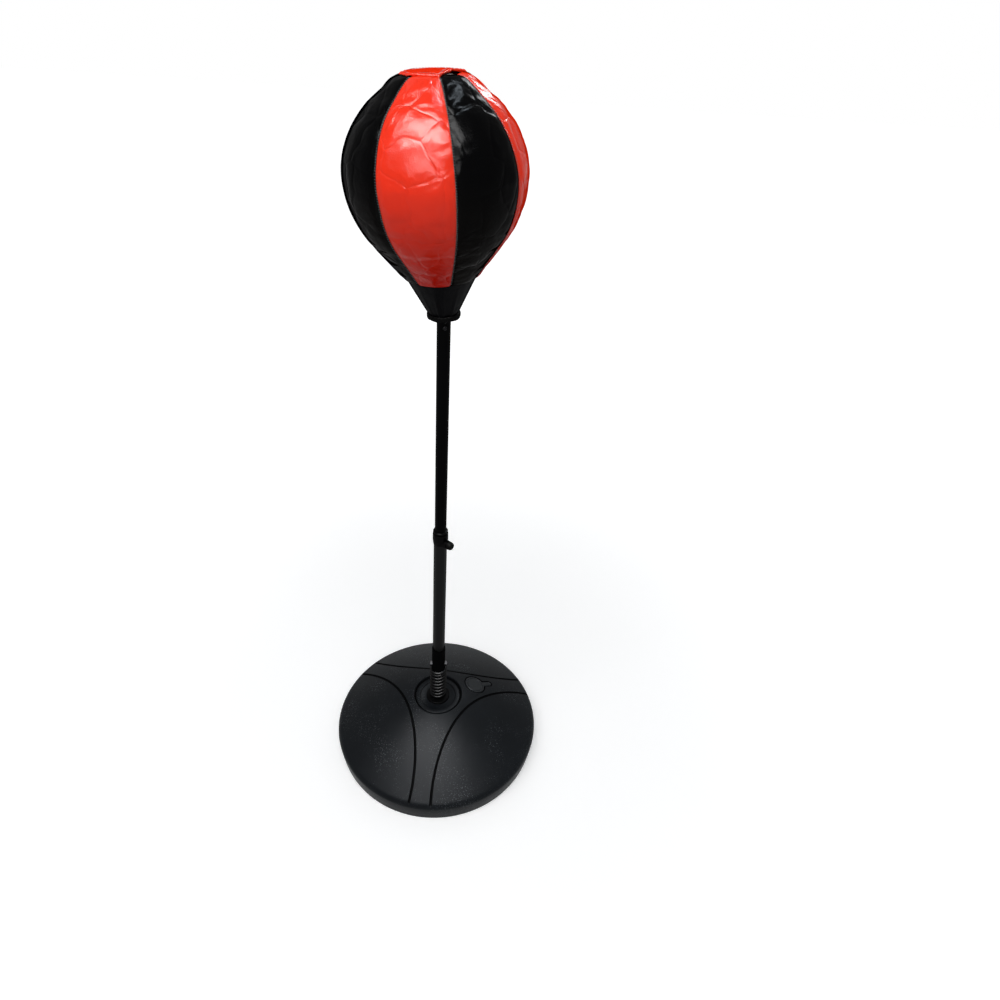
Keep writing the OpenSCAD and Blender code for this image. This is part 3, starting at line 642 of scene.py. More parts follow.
# Plated steel: a bright metal with fine scratches and duller patches
worn_metal, metal = new_finish("worn_metal", {
    "Colour": (0.6, 0.6, 0.62), "Dull": (0.4, 0.4, 0.41), "Smoothest": 0.2, "Roughest": 0.4,
})
stretched = node_of(worn_metal, "ShaderNodeMapping", {"Vector": metal["Vector"], "Scale": (900, 900, 120)})
scratch = noise_of(worn_metal, stretched.outputs["Vector"], 1.0, 2.0)
dull = ramp_of(worn_metal, noise_of(worn_metal, metal["Vector"], 180.0, 4.0), (0.45, 0.0), (0.65, 1.0))
end_finish(worn_metal, metal, mix_of(worn_metal, dull, metal["Colour"], metal["Dull"]), scratch, scratch)
zinc_steel = finish_with(
    worn_metal, "zinc_steel", (0.00003, 0.3), rough=(0.28, 0.5), metallic=1.0,
    Colour=(0.50, 0.50, 0.51), Dull=(0.33, 0.33, 0.34))
for fastener in ("anchor_bolt", "anchor_washer", "anchor_nut"):
    give(nodes[fastener], zinc_steel)

# ---- Coil spring ----
# Nine turns of thick black-coated wire between the foot and the pole's plug. It bends where the pole
# sways; here it is made in two halves, split at its middle turn.
wire_radius = 0.00275
coil_radius = 0.01275
spring_turns = 9
wire_sides = 16
steps_a_turn = 56
closed_gap = 0.0003
spring_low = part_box("reflex_spring")[0].z
spring_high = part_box("reflex_spring")[1].z
spring_middle = (spring_low + spring_high) / 2
coil_rise = spring_high - spring_low - 2 * wire_radius
end_pitch = 2 * wire_radius + closed_gap
open_pitch = (coil_rise - 2 * end_pitch) / (spring_turns - 2)


def coil_height(turn):
    """How far the wire's middle has climbed after a number of turns; the end turns are closed."""
    if turn < 1:
        return end_pitch * turn
    if turn > spring_turns - 1:
        return coil_rise - end_pitch * (spring_turns - turn)
    return end_pitch + open_pitch * (turn - 1)


def coil_mesh(name, first, last):
    """The wire as a round tube from one turn count to another."""
    count = round((last - first) * steps_a_turn)
    rings = []
    for i in range(count + 1):
        turn = first + (last - first) * i / count
        a = 2 * math.pi * turn
        outward = Vector((math.cos(a), math.sin(a), 0))
        ahead = Vector((-math.sin(a), math.cos(a), open_pitch / (2 * math.pi * coil_radius))).normalized()
        up = outward.cross(ahead)
        middle = outward * coil_radius + Vector((0, 0, spring_low + wire_radius + coil_height(turn)))
        rings.append([
            middle + (outward * math.cos(b) + up * math.sin(b)) * wire_radius
            for b in (2 * math.pi * j / wire_sides for j in range(wire_sides))])
    return lofted_mesh(name, rings)


# Black coating: a glossy, slightly uneven paint with a faint orange peel
coat_shadow = (0.0012, 0.0013, 0.0016, 1)
glossy_coat, coat = new_finish("glossy_coat", {
    "Colour": (0.01, 0.01, 0.01), "Peel": 420.0, "Smoothest": 0.12, "Roughest": 0.22,
})
smear = noise_of(glossy_coat, coat["Vector"], 30.0, 4.0)
half_smear = math_node(glossy_coat, "MULTIPLY", smear, 0.5)
end_finish(glossy_coat, coat, mix_of(glossy_coat, half_smear, coat["Colour"], coat_shadow), smear,
           noise_of(glossy_coat, coat["Vector"], coat["Peel"], 2.0))
spring_coat = finish_with(
    glossy_coat, "spring_coat", (0.00003, 0.5), rough=(0.2, 0.3), shine=0.12, dark_rim=True,
    Colour=(0.0006, 0.0006, 0.0007), Peel=700.0)

middle_turn = spring_turns / 2
for half, first, last, bodies, start, end in (
    ("lower", 0, middle_turn, ("base", "spring"), spring_low, spring_middle),
    ("upper", middle_turn, spring_turns, ("spring", "mast"), spring_middle, spring_high),
):
    coil = add_piece(f"coil_spring_{half}", coil_mesh(f"coil_spring_{half}", first, last))
    give(coil, spring_coat)
    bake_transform(coil)
    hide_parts("reflex_spring")

# ---- Pole ----
# The black plug and sleeve join spring and pole, held by a bright cross bolt. Two thin steel tubes,
# powder coated in gloss black, slide one in the other, and a soft guide plug keeps them true.
sleeve_plastic = finish_with(
    glossy_coat, "sleeve_plastic", (0.00005, 0.5), rough=(0.4, 0.5), shine=0.02, dark_rim=True,
    Colour=(0.0006, 0.0006, 0.0008), Peel=260.0)
tube_paint = finish_with(
    glossy_coat, "tube_paint", (0.00004, 0.35), rough=(0.12, 0.18), shine=0.02, dark_rim=True,
    Colour=(0.0005, 0.0005, 0.0007), Peel=380.0)
lower_paint = finish_with(
    glossy_coat, "lower_paint", (0.00004, 0.35), rough=(0.08, 0.14), shine=0.11, dark_rim=True,
    Colour=(0.0005, 0.0005, 0.0007), Peel=380.0)
bolt_chrome = finish_with(
    worn_metal, "bolt_chrome", (0.00002, 0.3), rough=(0.30, 0.40), metallic=1.0,
    Colour=(0.008, 0.008, 0.0085), Dull=(0.004, 0.004, 0.0042))
give(nodes["spring_plug"], foot_plastic)
give(nodes["pole_sleeve"], sleeve_plastic)
give(nodes["lower_tube"], lower_paint)
give(nodes["upper_tube"], tube_paint)
for fastener in ("cross_bolt", "cross_nut", "cup_screws"):
    give(nodes[fastener], bolt_chrome)
shoe_rubber = finish_with(
    moulded_grain, "shoe_rubber", (0.0001, 0.4), rough=(0.6, 0.75),
    Grain=700.0, Colour=(0.02, 0.02, 0.02), Lighter=(0.03, 0.03, 0.03), Specks=0.0)
give(nodes["guide_plug"], shoe_rubber)
give(nodes["clamp_shoe"], shoe_rubber)

# ---- Height clamp ----
# A moulded collar with a rolled lip grips the top of the lower tube. The fluted knob drives a steel
# screw through a captive nut in the collar's boss, and the shoe at its tip presses on the upper tube.
collar_plastic = finish_with(
    glossy_coat, "collar_plastic", (0.00004, 0.5), rough=(0.2, 0.32), shine=0.035, dark_rim=True,
    Colour=(0.0006, 0.0006, 0.0007), Peel=300.0)
knob_plastic = finish_with(
    moulded_grain, "knob_plastic", (0.0001, 0.5), rough=(0.38, 0.5), shine=0.03, dark_rim=True,
    Grain=1200.0, Colour=(0.001, 0.001, 0.001), Lighter=(0.002, 0.002, 0.002), Specks=0.1)
give(nodes["clamp_collar"], collar_plastic)
give(nodes["clamp_knob"], knob_plastic)
give(nodes["clamp_nut"], zinc_steel)
give(nodes["clamp_screw"], zinc_steel)

# ---- Ball: its outline and lean ----
# The ball is a stitched skin of eight glossy panels over a rubber bladder. Its own frame starts in the
# middle of the rolled neck rim and leans a few degrees, because the soft neck lets it settle sideways.
ball_radius = 0.1045
ball_mid_height = 0.169
ball_crown = 0.0985
crown_power = 1.88
belly_radius = 0.115
belly_turn = math.radians(37.8)
hem_height = 0.055
panel_thickness = 0.0018
ball_lean = math.radians(4)
panel_count = 8
# Each seam's direction round the ball, at five heights from the hem to the crown. The three that show in
# the photograph wander a few degrees, and the black panel on the left is wider than the rest.
seam_heights = (0.06, 0.11, 0.15, 0.20, 0.25)
seam_turns = np.radians([
    (8, 8, 8, 8, 8),
    (47.5, 47.5, 47.5, 47.5, 47.5),
    (87, 87, 87, 87, 87),
    (126.5, 126.5, 126.5, 126.5, 126.5),
    (166, 166, 166, 166, 164),
    (234.8, 235.6, 235.7, 234.0, 230.3),
    (284.2, 282.8, 282.3, 281.8, 282.4),
    (334.5, 332.5, 330.3, 328.0, 328.2),
])
neck_z = 0.859031
ball_frame = Matrix.Translation((0, 0, neck_z)) @ Matrix.Rotation(-ball_lean, 4, "Y")
# The stiff cap holds the crown flat: it dips in the middle and rises out to the cap's reach, and the
# raise fades out beyond that
cap_hold = 0.038
cap_fade = 0.026
crown_lift = 0.0050
crown_drop = 0.0008
# The ball's soft top leans to the right above a height, by so much at so far above it
lean_start = 0.1
lean_height = 0.16
lean_reach = 0.0029


def crown_raise(r):
    """How far the sewn crown stands above its plain curve, where the stiff cap holds it flat."""
    flat = crown_lift * np.clip(np.asarray(r) / cap_hold, 0, 1) ** 1.6 - crown_drop
    past = np.clip((np.asarray(r) - cap_hold) / cap_fade, 0, 1)
    return flat * np.cos(math.pi / 2 * past) ** 2


def lean_at(height):
    """How far the top has leant at a height."""
    return lean_reach * np.clip((height - lean_start) / lean_height, 0, None) ** 2


def settled(places):
    """Places in the ball's frame after its soft top has leant a few millimetres to the right."""
    moved = np.array(places, float)
    moved[..., 0] += lean_at(moved[..., 2])
    return moved


def ball_outline():
    """The panels' outline from hem to crown as a dense list of (radius, height)."""
    belly_middle = ball_radius - belly_radius
    cone_r = belly_middle + belly_radius * math.cos(belly_turn)
    cone_h = ball_mid_height - belly_radius * math.sin(belly_turn)
    points = []
    for i in range(24):
        h = hem_height + (cone_h - hem_height) * i / 24
        points.append((cone_r - (cone_h - h) * math.tan(belly_turn), h))
    for i in range(40):
        b = belly_turn * (1 - i / 40)
        points.append((
            belly_middle + belly_radius * math.cos(b), ball_mid_height - belly_radius * math.sin(b)))
    for i in range(121):
        a = math.pi / 2 * i / 120
        reach, rise = abs(math.cos(a)) ** (2 / crown_power), math.sin(a) ** (2 / crown_power)
        r = ball_radius * reach
        points.append((r, ball_mid_height + ball_crown * rise + float(crown_raise(r))))
    return np.array(points)


outline = ball_outline()
outline_steps = np.concatenate([[0], np.cumsum(np.linalg.norm(np.diff(outline, axis=0), axis=1))])
outline_length = outline_steps[-1]


def on_outline(length, out=0.0):
    """(radius, height) at a distance along the outline from the hem, moved outward, and its normal."""
    length = np.asarray(length, float)
    near = [np.interp(length + step, outline_steps, outline[:, side])
            for step in (-0.002, 0.002) for side in (0, 1)]
    dr, dh = near[2] - near[0], near[3] - near[1]
    size = np.hypot(dr, dh) + 1e-12
    r = np.interp(length, outline_steps, outline[:, 0]) + out * dh / size
    h = np.interp(length, outline_steps, outline[:, 1]) - out * dr / size
    return r, h, dh / size, -dr / size


# ---- Ball panels ----
# Four red and four black panels of coated leathercloth, sewn edge to edge inside out, so each seam is a
# narrow valley. The skin is blown out from its pinned seams by a cloth simulation with a little spare
# cloth, which swells each panel and puckers it along the stitching; then it is split into its panels.
columns = 24
rows = 76
across = panel_count * columns
top_margin = 0.030
seam_sink = 0.0009
spare_cloth = 0.022
most_pucker = 0.0008
cloth_frames = 20
edge_gap = 0.00022
edge_turn_down = 0.0005


def column_turns(height):
    """The direction of every column of the skin at a height; seams fall on every panel's first column."""
    seams = [np.interp(height, seam_heights, turns) for turns in seam_turns]
    seams.append(seams[0] + 2 * math.pi)
    return np.concatenate([
        low + (high - low) * np.arange(columns) / columns for low, high in zip(seams, seams[1:])])


def skin_grid():
    """The skin before it swells, and its normals."""
    grid = np.zeros((rows + 1, across, 3))
    normals = np.zeros((rows + 1, across, 3))
    for j, length in enumerate(np.linspace(0, outline_length - top_margin, rows + 1)):
        r, h, out, up = on_outline(length, -seam_sink)
        turns = column_turns(h)
        grid[j] = np.stack([r * np.cos(turns), r * np.sin(turns), np.full(across, h)], 1)
        normals[j] = np.stack([out * np.cos(turns), out * np.sin(turns), np.full(across, up)], 1)
    return grid, normals


def sheet_faces(strips, faces_a_strip, wide):
    """The faces of a grid of places with so many in each row; a row as wide as its faces is closed."""
    return [
        (j * wide + i, j * wide + (i + 1) % wide, (j + 1) * wide + (i + 1) % wide, (j + 1) * wide + i)
        for j in range(strips) for i in range(faces_a_strip)
    ]


def turned_over(faces):
    """The same faces, seen from their other side."""
    return [(face[0], *face[:0:-1]) for face in faces]


skin, skin_normals = skin_grid()
# The distance from the seams (1 at a seam), and the swell that meets the outline in the photograph
seam_share = np.abs((np.arange(across) % columns) / columns * 2 - 1)
plain_swell = (seam_sink + 0.0001) * (1 - seam_share ** 2.6)


def blurred(values):
    """Values on the skin's grid, averaged over the neighbours along and round the ball."""
    for reach, axis, mode in ((4, 0, "edge"), (4, 1, "wrap")):
        room = [(0, 0), (0, 0)]
        room[axis] = (reach, reach)
        wide = np.pad(values, room, mode=mode)
        size = values.shape[axis]
        values = sum(np.take(wide, range(k, k + size), axis) for k in range(2 * reach + 1)) / (2 * reach + 1)
    return values


def swollen_skin():
    """The skin after the simulation: its puckers, on the swell that the outline asks for."""
    mesh = bpy.data.meshes.new("skin")
    mesh.from_pydata([tuple(p) for p in skin.reshape(-1, 3)], [], sheet_faces(rows, across, across))
    cloth_piece = add_piece("skin", mesh)
    pinned = cloth_piece.vertex_groups.new(name="seams")
    for j in range(rows + 1):
        for i in range(across):
            if i % columns == 0 or j in (0, rows):
                pinned.add([j * across + i], 1.0, "REPLACE")
    cloth = cloth_piece.modifiers.new("swell", "CLOTH")
    cloth.settings.quality = 6
    cloth.settings.mass = 0.25
    cloth.settings.tension_stiffness = 25
    cloth.settings.compression_stiffness = 25
    cloth.settings.shear_stiffness = 12
    cloth.settings.bending_stiffness = 1.0
    cloth.settings.air_damping = 2.0
    cloth.settings.use_pressure = True
    cloth.settings.uniform_pressure_force = 4.0
    cloth.settings.shrink_min = -spare_cloth
    cloth.settings.vertex_group_mass = "seams"
    cloth.settings.effector_weights.gravity = 0
    cloth.collision_settings.use_collision = False
    cloth.point_cache.frame_start, cloth.point_cache.frame_end = 1, cloth_frames
    for step in range(1, cloth_frames + 1):
        scene.frame_set(step)
    graph = bpy.context.evaluated_depsgraph_get()
    done = cloth_piece.evaluated_get(graph).to_mesh()
    places = np.zeros(len(done.vertices) * 3, np.float32)
    done.vertices.foreach_get("co", places)
    cloth_piece.evaluated_get(graph).to_mesh_clear()
    scene.frame_set(1)
    bpy.data.objects.remove(cloth_piece)
    bpy.data.meshes.remove(mesh)
    out = ((places.reshape(skin.shape) - skin) * skin_normals).sum(2)
    pucker = most_pucker * np.tanh((out - blurred(out)) / most_pucker * 0.8)
    pucker[:, ::columns] = 0
    pucker[0] *= 0.3
    return skin + skin_normals * (plain_swell[None, :] + pucker)[:, :, None]


swollen = settled(swollen_skin())

# Coated leathercloth: a fine pebble grain, long soft creases, and painted shading: the colour moves to a
# shaded colour low on the ball, which deepens the red there
# Painted shade: from this height down to that one the colour fades into the shaded colour
shade_from = 1.04
shade_deepest_at = 0.93
leathercloth, leather = new_finish("leathercloth", {
    "Colour": (0.8, 0.04, 0.015), "Deeper": (0.5, 0.015, 0.008), "Crease": 1.0,
    "Smoothest": 0.22, "Roughest": 0.34,
})
skin_place = leather["Vector"]
pebble = node_of(
    leathercloth, "ShaderNodeTexVoronoi", {"Vector": skin_place, "Scale": 1100.0}, feature="SMOOTH_F1")
warp = node_of(leathercloth, "ShaderNodeVectorMath", {
    0: noise_of(leathercloth, skin_place, 24.0, 2.0, "Color"), "Scale": 0.022}, operation="SCALE")
bent = node_of(leathercloth, "ShaderNodeVectorMath", {
    0: skin_place, 1: warp.outputs["Vector"]}, operation="ADD").outputs["Vector"]
folds = node_of(
    leathercloth, "ShaderNodeTexVoronoi", {"Vector": bent, "Scale": 27.0}, feature="DISTANCE_TO_EDGE")
fold_line = ramp_of(leathercloth, folds.outputs["Distance"], (0.0, 0.0), (0.06, 0.5), (0.22, 1.0))
crease = math_node(leathercloth, "MULTIPLY", fold_line, 0.55)
billow = math_node(leathercloth, "MULTIPLY", noise_of(leathercloth, bent, 34.0, 2.2), 1.5)
crease = math_node(leathercloth, "ADD", crease, billow)
crease = math_node(leathercloth, "MULTIPLY", crease, leather["Crease"])
pebbles = math_node(leathercloth, "MULTIPLY", pebble.outputs["Distance"], 0.10)
apart = node_of(leathercloth, "ShaderNodeSeparateXYZ", {"Vector": skin_place})
# Painted shade: the mask that darkens the colour low on the ball, where less light falls
painted_shade_low = range_of(leathercloth, apart.outputs["Z"], 0.0, 1.0, shade_from, shade_deepest_at)
end_finish(
    leathercloth, leather, mix_of(leathercloth, painted_shade_low, leather["Colour"], leather["Deeper"]),
    noise_of(leathercloth, skin_place, 60.0, 3.0), math_node(leathercloth, "ADD", crease, pebbles))
# The red's low colour is painted shade for the ball's underside
red_leather = finish_with(
    leathercloth, "red_leather", (0.0015, 0.9), rough=(0.11, 0.19), shine=0.16, dark_rim=True,
    Colour=(0.86, 0.028, 0.006), Deeper=(0.38, 0.007, 0.002), Crease=1.0)
black_leather = finish_with(
    leathercloth, "black_leather", (0.0012, 0.6), rough=(0.11, 0.19), shine=0.027, dark_rim=True,
    Colour=(0.0006, 0.0006, 0.0008), Deeper=(0.0025, 0.0018, 0.0012), Crease=1.0)


def ball_mesh(name, places, faces):
    """A mesh from places in the ball's frame."""
    mesh = bpy.data.meshes.new(name)
    mesh.from_pydata([tuple(p) for p in places], [], faces)
    mesh.transform(ball_frame)
    return mesh


def panel_mesh(name, index):
    """One panel cut from the swollen skin, its long edges turned down into the seams."""
    grid = swollen[:, [(index * columns + i) % across for i in range(columns + 1)]].copy()
    width = grid[:, -1] - grid[:, 0]
    width /= np.linalg.norm(width, axis=1, keepdims=True)
    outward = grid * np.array([1, 1, 0])
    outward /= np.linalg.norm(outward, axis=2, keepdims=True)
    for edge, toward in ((0, 1), (columns, -1)):
        grid[:, edge] += toward * edge_gap * width - edge_turn_down * outward[:, edge]
    return ball_mesh(name, grid.reshape(-1, 3), sheet_faces(rows, columns, columns + 1))


def give_thickness(piece, thickness):
    """Thickens a sheet inward."""
    wall = piece.modifiers.new("thickness", "SOLIDIFY")
    wall.thickness = thickness
    wall.offset = -1


panels = []
for index in range(panel_count):
    number = index // 2 + 1
    tone, finish = ("red", red_leather) if index % 2 else ("black", black_leather)
    panel = add_piece(f"{tone}_panel_{number}_sewn", panel_mesh(f"{tone}_panel_{number}_sewn", index))
    smooth = panel.modifiers.new("smooth", "SUBSURF")
    smooth.levels = smooth.render_levels = 1
    give_thickness(panel, panel_thickness)
    give(panel, finish)
    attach(panel, "ball")
    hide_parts(f"{tone}_panel_{number}")
    panels.append(panel)

# ---- Seam stitching ----
# Lock stitches of thick black thread bridge every seam at a pitch of about 2.6 mm. They are laid along
# the eight seams by one small tree of nodes, as rice-shaped bites across the valley.
stitch_pitch = 0.0026
stitch_length = 0.0026
stitch_width = 0.00062
stitch_rise = 0.0003


def stitch_tree():
    """Geometry Nodes that lay stitches across a path; the path's points carry the stitches' direction."""
    tree = bpy.data.node_groups.new("stitch_row", "GeometryNodeTree")
    tree.is_modifier = True
    for label, kind in (("Path", "Geometry"), ("Pitch", "Float"), ("Length", "Float"), ("Width", "Float"),
                        ("Thread", "Material")):
        tree.interface.new_socket(label, in_out="INPUT", socket_type="NodeSocket" + kind)
    tree.interface.new_socket("Stitches", in_out="OUTPUT", socket_type="NodeSocketGeometry")
    source = node_of(tree, "NodeGroupInput").outputs
    path = node_of(tree, "GeometryNodeMeshToCurve", {"Mesh": source["Path"]})
    spaced = node_of(tree, "GeometryNodeResampleCurve", {
        "Curve": path.outputs["Curve"], "Length": source["Pitch"]}, mode="LENGTH")
    bite = node_of(tree, "GeometryNodeMeshUVSphere", {"Segments": 7, "Rings": 5, "Radius": 0.5})
    size = node_of(tree, "ShaderNodeCombineXYZ", {
        "X": source["Width"], "Y": source["Width"], "Z": source["Length"]})
    direction = node_of(
        tree, "GeometryNodeInputNamedAttribute", {"Name": "across"}, data_type="FLOAT_VECTOR")
    turn = node_of(tree, "FunctionNodeAlignRotationToVector", {
        "Vector": direction.outputs["Attribute"]}, axis="Z")
    laid = node_of(tree, "GeometryNodeInstanceOnPoints", {
        "Points": spaced.outputs["Curve"], "Instance": bite.outputs["Mesh"],
        "Rotation": turn.outputs["Rotation"], "Scale": size.outputs["Vector"]})
    real = node_of(tree, "GeometryNodeRealizeInstances", {"Geometry": laid.outputs["Instances"]})
    coloured = node_of(tree, "GeometryNodeSetMaterial", {
        "Geometry": real.outputs["Geometry"], "Material": source["Thread"]})
    node_of(tree, "NodeGroupOutput", {"Stitches": coloured.outputs["Geometry"]})
    return tree


stitch_row = stitch_tree()


def stitched(name, paths, **values):
    """Stitches along paths, each a list of (place, direction of the bite), as one plain mesh."""
    mesh = bpy.data.meshes.new(name)
    places, edges, directions = [], [], []
    for path in paths:
        first = len(places)
        places += [tuple(p) for p, _ in path]
        directions += [c for _, d in path for c in d]
        edges += [(first + i, first + i + 1) for i in range(len(path) - 1)]
    mesh.from_pydata(places, edges, [])
    mesh.attributes.new("across", "FLOAT_VECTOR", "POINT").data.foreach_set("vector", directions)
    guide = add_piece(name + "_guide", mesh, smooth=False)
    laid = guide.modifiers.new("stitches", "NODES")
    laid.node_group = stitch_row
    for socket in stitch_row.interface.items_tree:
        if socket.name in values:
            laid[socket.identifier] = values[socket.name]
    graph = bpy.context.evaluated_depsgraph_get()
    made = bpy.data.meshes.new_from_object(guide.evaluated_get(graph))
    bpy.data.objects.remove(guide)
    made.name = name
    if "across" in made.attributes:
        made.attributes.remove(made.attributes["across"])
    return add_piece(name, made)


thread_light = (0.05, 0.05, 0.055, 1)
thread_twist, thread = new_finish("thread_twist", {
    "Colour": (0.02, 0.02, 0.02), "Smoothest": 0.45, "Roughest": 0.7,
})
fibre = noise_of(thread_twist, thread["Vector"], 2600.0, 2.0)
end_finish(thread_twist, thread, mix_of(thread_twist, fibre, thread["Colour"], thread_light), fibre, fibre)
black_thread = finish_with(thread_twist, "black_thread", (0.00005, 0.5), Colour=(0.012, 0.012, 0.013))
red_thread = finish_with(thread_twist, "red_thread", (0.00005, 0.5), Colour=(0.55, 0.03, 0.015))

seam_paths = []
for index in range(panel_count):
    path = []
    for j in range(1, rows - 1):
        place = Vector(swollen[j, index * columns])
        outward = Vector((place.x, place.y, 0)).normalized()
        round_way = ball_frame.to_3x3() @ Vector((-outward.y, outward.x, 0))
        path.append((ball_frame @ (place + outward * stitch_rise), round_way))
    seam_paths.append(path)
seam_stitches = stitched(
    "seam_stitches", seam_paths, Thread=black_thread, Pitch=stitch_pitch, Length=stitch_length,
    Width=stitch_width)
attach(seam_stitches, "ball")

# ---- Top cap ----
# A red patch of the same leathercloth, cut as an uneven octagon whose corners lie near the seams, covers
# the meeting of the panels. Its edge is turned under and sewn down, which puckers it.
cap_rise = 0.0007
cap_thickness = 0.0012
cap_rings = 18
cap_columns = 160
hidden_cap_reach = 0.037
least_cap_reach = 0.0355  # covers the opening in the middle of the panels
cap_pucker = 0.00045
cap_dents = 0.0010
cap_roll = 0.0005
cap_edge_drop = 0.0010
cap_stitch_inset = 0.0042
cap_stitch_steps = 240


def carrier_of(*pieces):
    """The finished surface of the pieces that carry something, for placing it."""
    graph = bpy.context.evaluated_depsgraph_get()
    places, faces = [], []
    for piece in pieces:
        done = piece.evaluated_get(graph)
        mesh = done.to_mesh()
        first = len(places)
        places += [done.matrix_world @ v.co for v in mesh.vertices]
        faces += [[first + i for i in face.vertices] for face in mesh.polygons]
        done.to_mesh_clear()
    return BVHTree.FromPolygons(places, faces), places


def place_on(carrier, x, y):
    """The place on a carrying surface that shows at a pixel; a miss takes the nearest."""
    tree, places = carrier
    line = (camera_axes @ Vector((x - image_size / 2, image_size / 2 - y, -sight_length))).normalized()
    hit = tree.ray_cast(camera_place, line)[0]
    if hit is None:
        nearest = min(places, key=lambda place: (place - camera_place).cross(line).length)
        hit = tree.find_nearest(nearest)[0]
    return hit


skin_carrier = carrier_of(*panels)
cap_corners = [(hidden_cap_reach * math.cos(turns[-1]), hidden_cap_reach * math.sin(turns[-1]))
               for turns in seam_turns]
cap_points = {}
for corner, x, y in ((4, 402.7, 73.2), (5, 408.4, 75.7), (6, 439.6, 77.7), (7, 459.8, 72.8)):
    there = ball_frame.inverted() @ place_on(skin_carrier, x, y)
    there.x -= lean_at(there.z)
    grow = max(1.0, least_cap_reach / math.hypot(there.x, there.y))
    cap_corners[corner] = (there.x * grow, there.y * grow)
    cap_points[corner] = (x, y)
corner_turns = [math.atan2(y, x) % (2 * math.pi) for x, y in cap_corners]


def cap_edge(turn):
    """How far the cap reaches in a direction round the crown: straight from corner to corner."""
    past = [(turn - c) % (2 * math.pi) for c in corner_turns]
    i = past.index(min(past))
    (ax, ay), (bx, by) = cap_corners[i], cap_corners[(i + 1) % panel_count]
    ex, ey = bx - ax, by - ay
    return (ax * ey - ay * ex) / (math.cos(turn) * ey - math.sin(turn) * ex)


def crown_height(r):
    plain = ball_mid_height + ball_crown * max(0.0, 1 - (r / ball_radius) ** crown_power) ** (1 / crown_power)
    return plain + float(crown_raise(r))


for corner, (x, y) in cap_points.items():
    cx, cy = cap_corners[corner]
    on_crown = settled((cx, cy, crown_height(math.hypot(cx, cy)) + cap_rise))
    note_point(f"cap_corner_{corner}", x, y, ball_frame @ Vector(on_crown))

cap_places = [(0, 0, crown_height(0) + cap_rise)]
for ring in range(1, cap_rings + 1):
    share = ring / cap_rings
    roll = cap_roll * math.exp(-((share - 0.93) / 0.05) ** 2)
    edge_drop = cap_edge_drop * max(0.0, (share - 0.96) / 0.04) ** 2
    for i in range(cap_columns):
        turn = 2 * math.pi * i / cap_columns
        r = cap_edge(turn) * share
        x, y = r * math.cos(turn), r * math.sin(turn)
        pucker = math.sin(turn * 26 + 1.7 * math.sin(turn * 3)) * cap_pucker * share ** 8
        dents = cap_dents * noise.noise(Vector((x * 70, y * 70, 2.3))) * share
        height = crown_height(r) + cap_rise + pucker + dents + roll - edge_drop
        cap_places.append((x, y, height))
cap_faces = [(0, 1 + i, 1 + (i + 1) % cap_columns) for i in range(cap_columns)]
cap_strips = turned_over(sheet_faces(cap_rings - 1, cap_columns, cap_columns))
cap_faces += [[1 + corner for corner in face] for face in cap_strips]
top_cap = add_piece("top_cap_sewn", ball_mesh("top_cap_sewn", settled(cap_places), cap_faces))
give_thickness(top_cap, cap_thickness)
give(top_cap, red_leather)
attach(top_cap, "ball")
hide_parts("top_cap")
cap_path = []
for i in range(cap_stitch_steps + 1):
    turn = 2 * math.pi * i / cap_stitch_steps
    r = cap_edge(turn) - cap_stitch_inset
    along = Vector((-math.sin(turn), math.cos(turn), 0))
    place = Vector(settled((r * math.cos(turn), r * math.sin(turn), crown_height(r) + 2 * cap_rise)))
    cap_path.append((ball_frame @ place, ball_frame.to_3x3() @ along))
cap_stitches = stitched(
    "cap_stitches", [cap_path], Thread=red_thread, Pitch=0.0034, Length=0.0026, Width=0.0006)
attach(cap_stitches, "ball")

# ---- Neck skirt ----
# A black cone of coated cloth joins the panels to the neck. It is tucked under the panels' hem and
# gathered towards the rim, so it carries a few upright folds; its sewn closing seam in front is not drawn.
rim_inner = 0.0175
rim_width = 0.004
rim_height = 0.008
skirt_thickness = 0.0013
skirt_low_radius = rim_inner + rim_width - 0.0012
skirt_top_radius = float(on_outline(0.0, -panel_thickness)[0]) - 0.0003
skirt_columns = 200
skirt_rows = 26
skirt_tuck = 0.005
rim_tuck = 0.001
fold_places = [math.radians(a) for a in (-104, -88, -60, -20, 25, 68, 110, 150, 190, 228)]
fold_depths = (0.0011, 0.0009)
fold_width = 0.07
skirt_wave = 0.0004
skirt_inset = 0.0008
hem_ease = 0.0015


def skirt_fold(turn, share):
    """How far the skirt stands in or out at a direction, share 0 at the rim to 1 at the hem."""
    depth = 0.0
    for n, place in enumerate(fold_places):
        away = (turn - place + math.pi) % (2 * math.pi) - math.pi
        depth += fold_depths[n % 2] * math.exp(-(away / fold_width) ** 2)
    wave = skirt_wave * math.sin(turn * 7 + 0.8) * (1 - share)
    fade = math.sin(math.pi * min(1, 0.25 + share * 0.75)) ** 0.5
    return (depth * (1 - 0.75 * share) + wave) * fade - skirt_inset


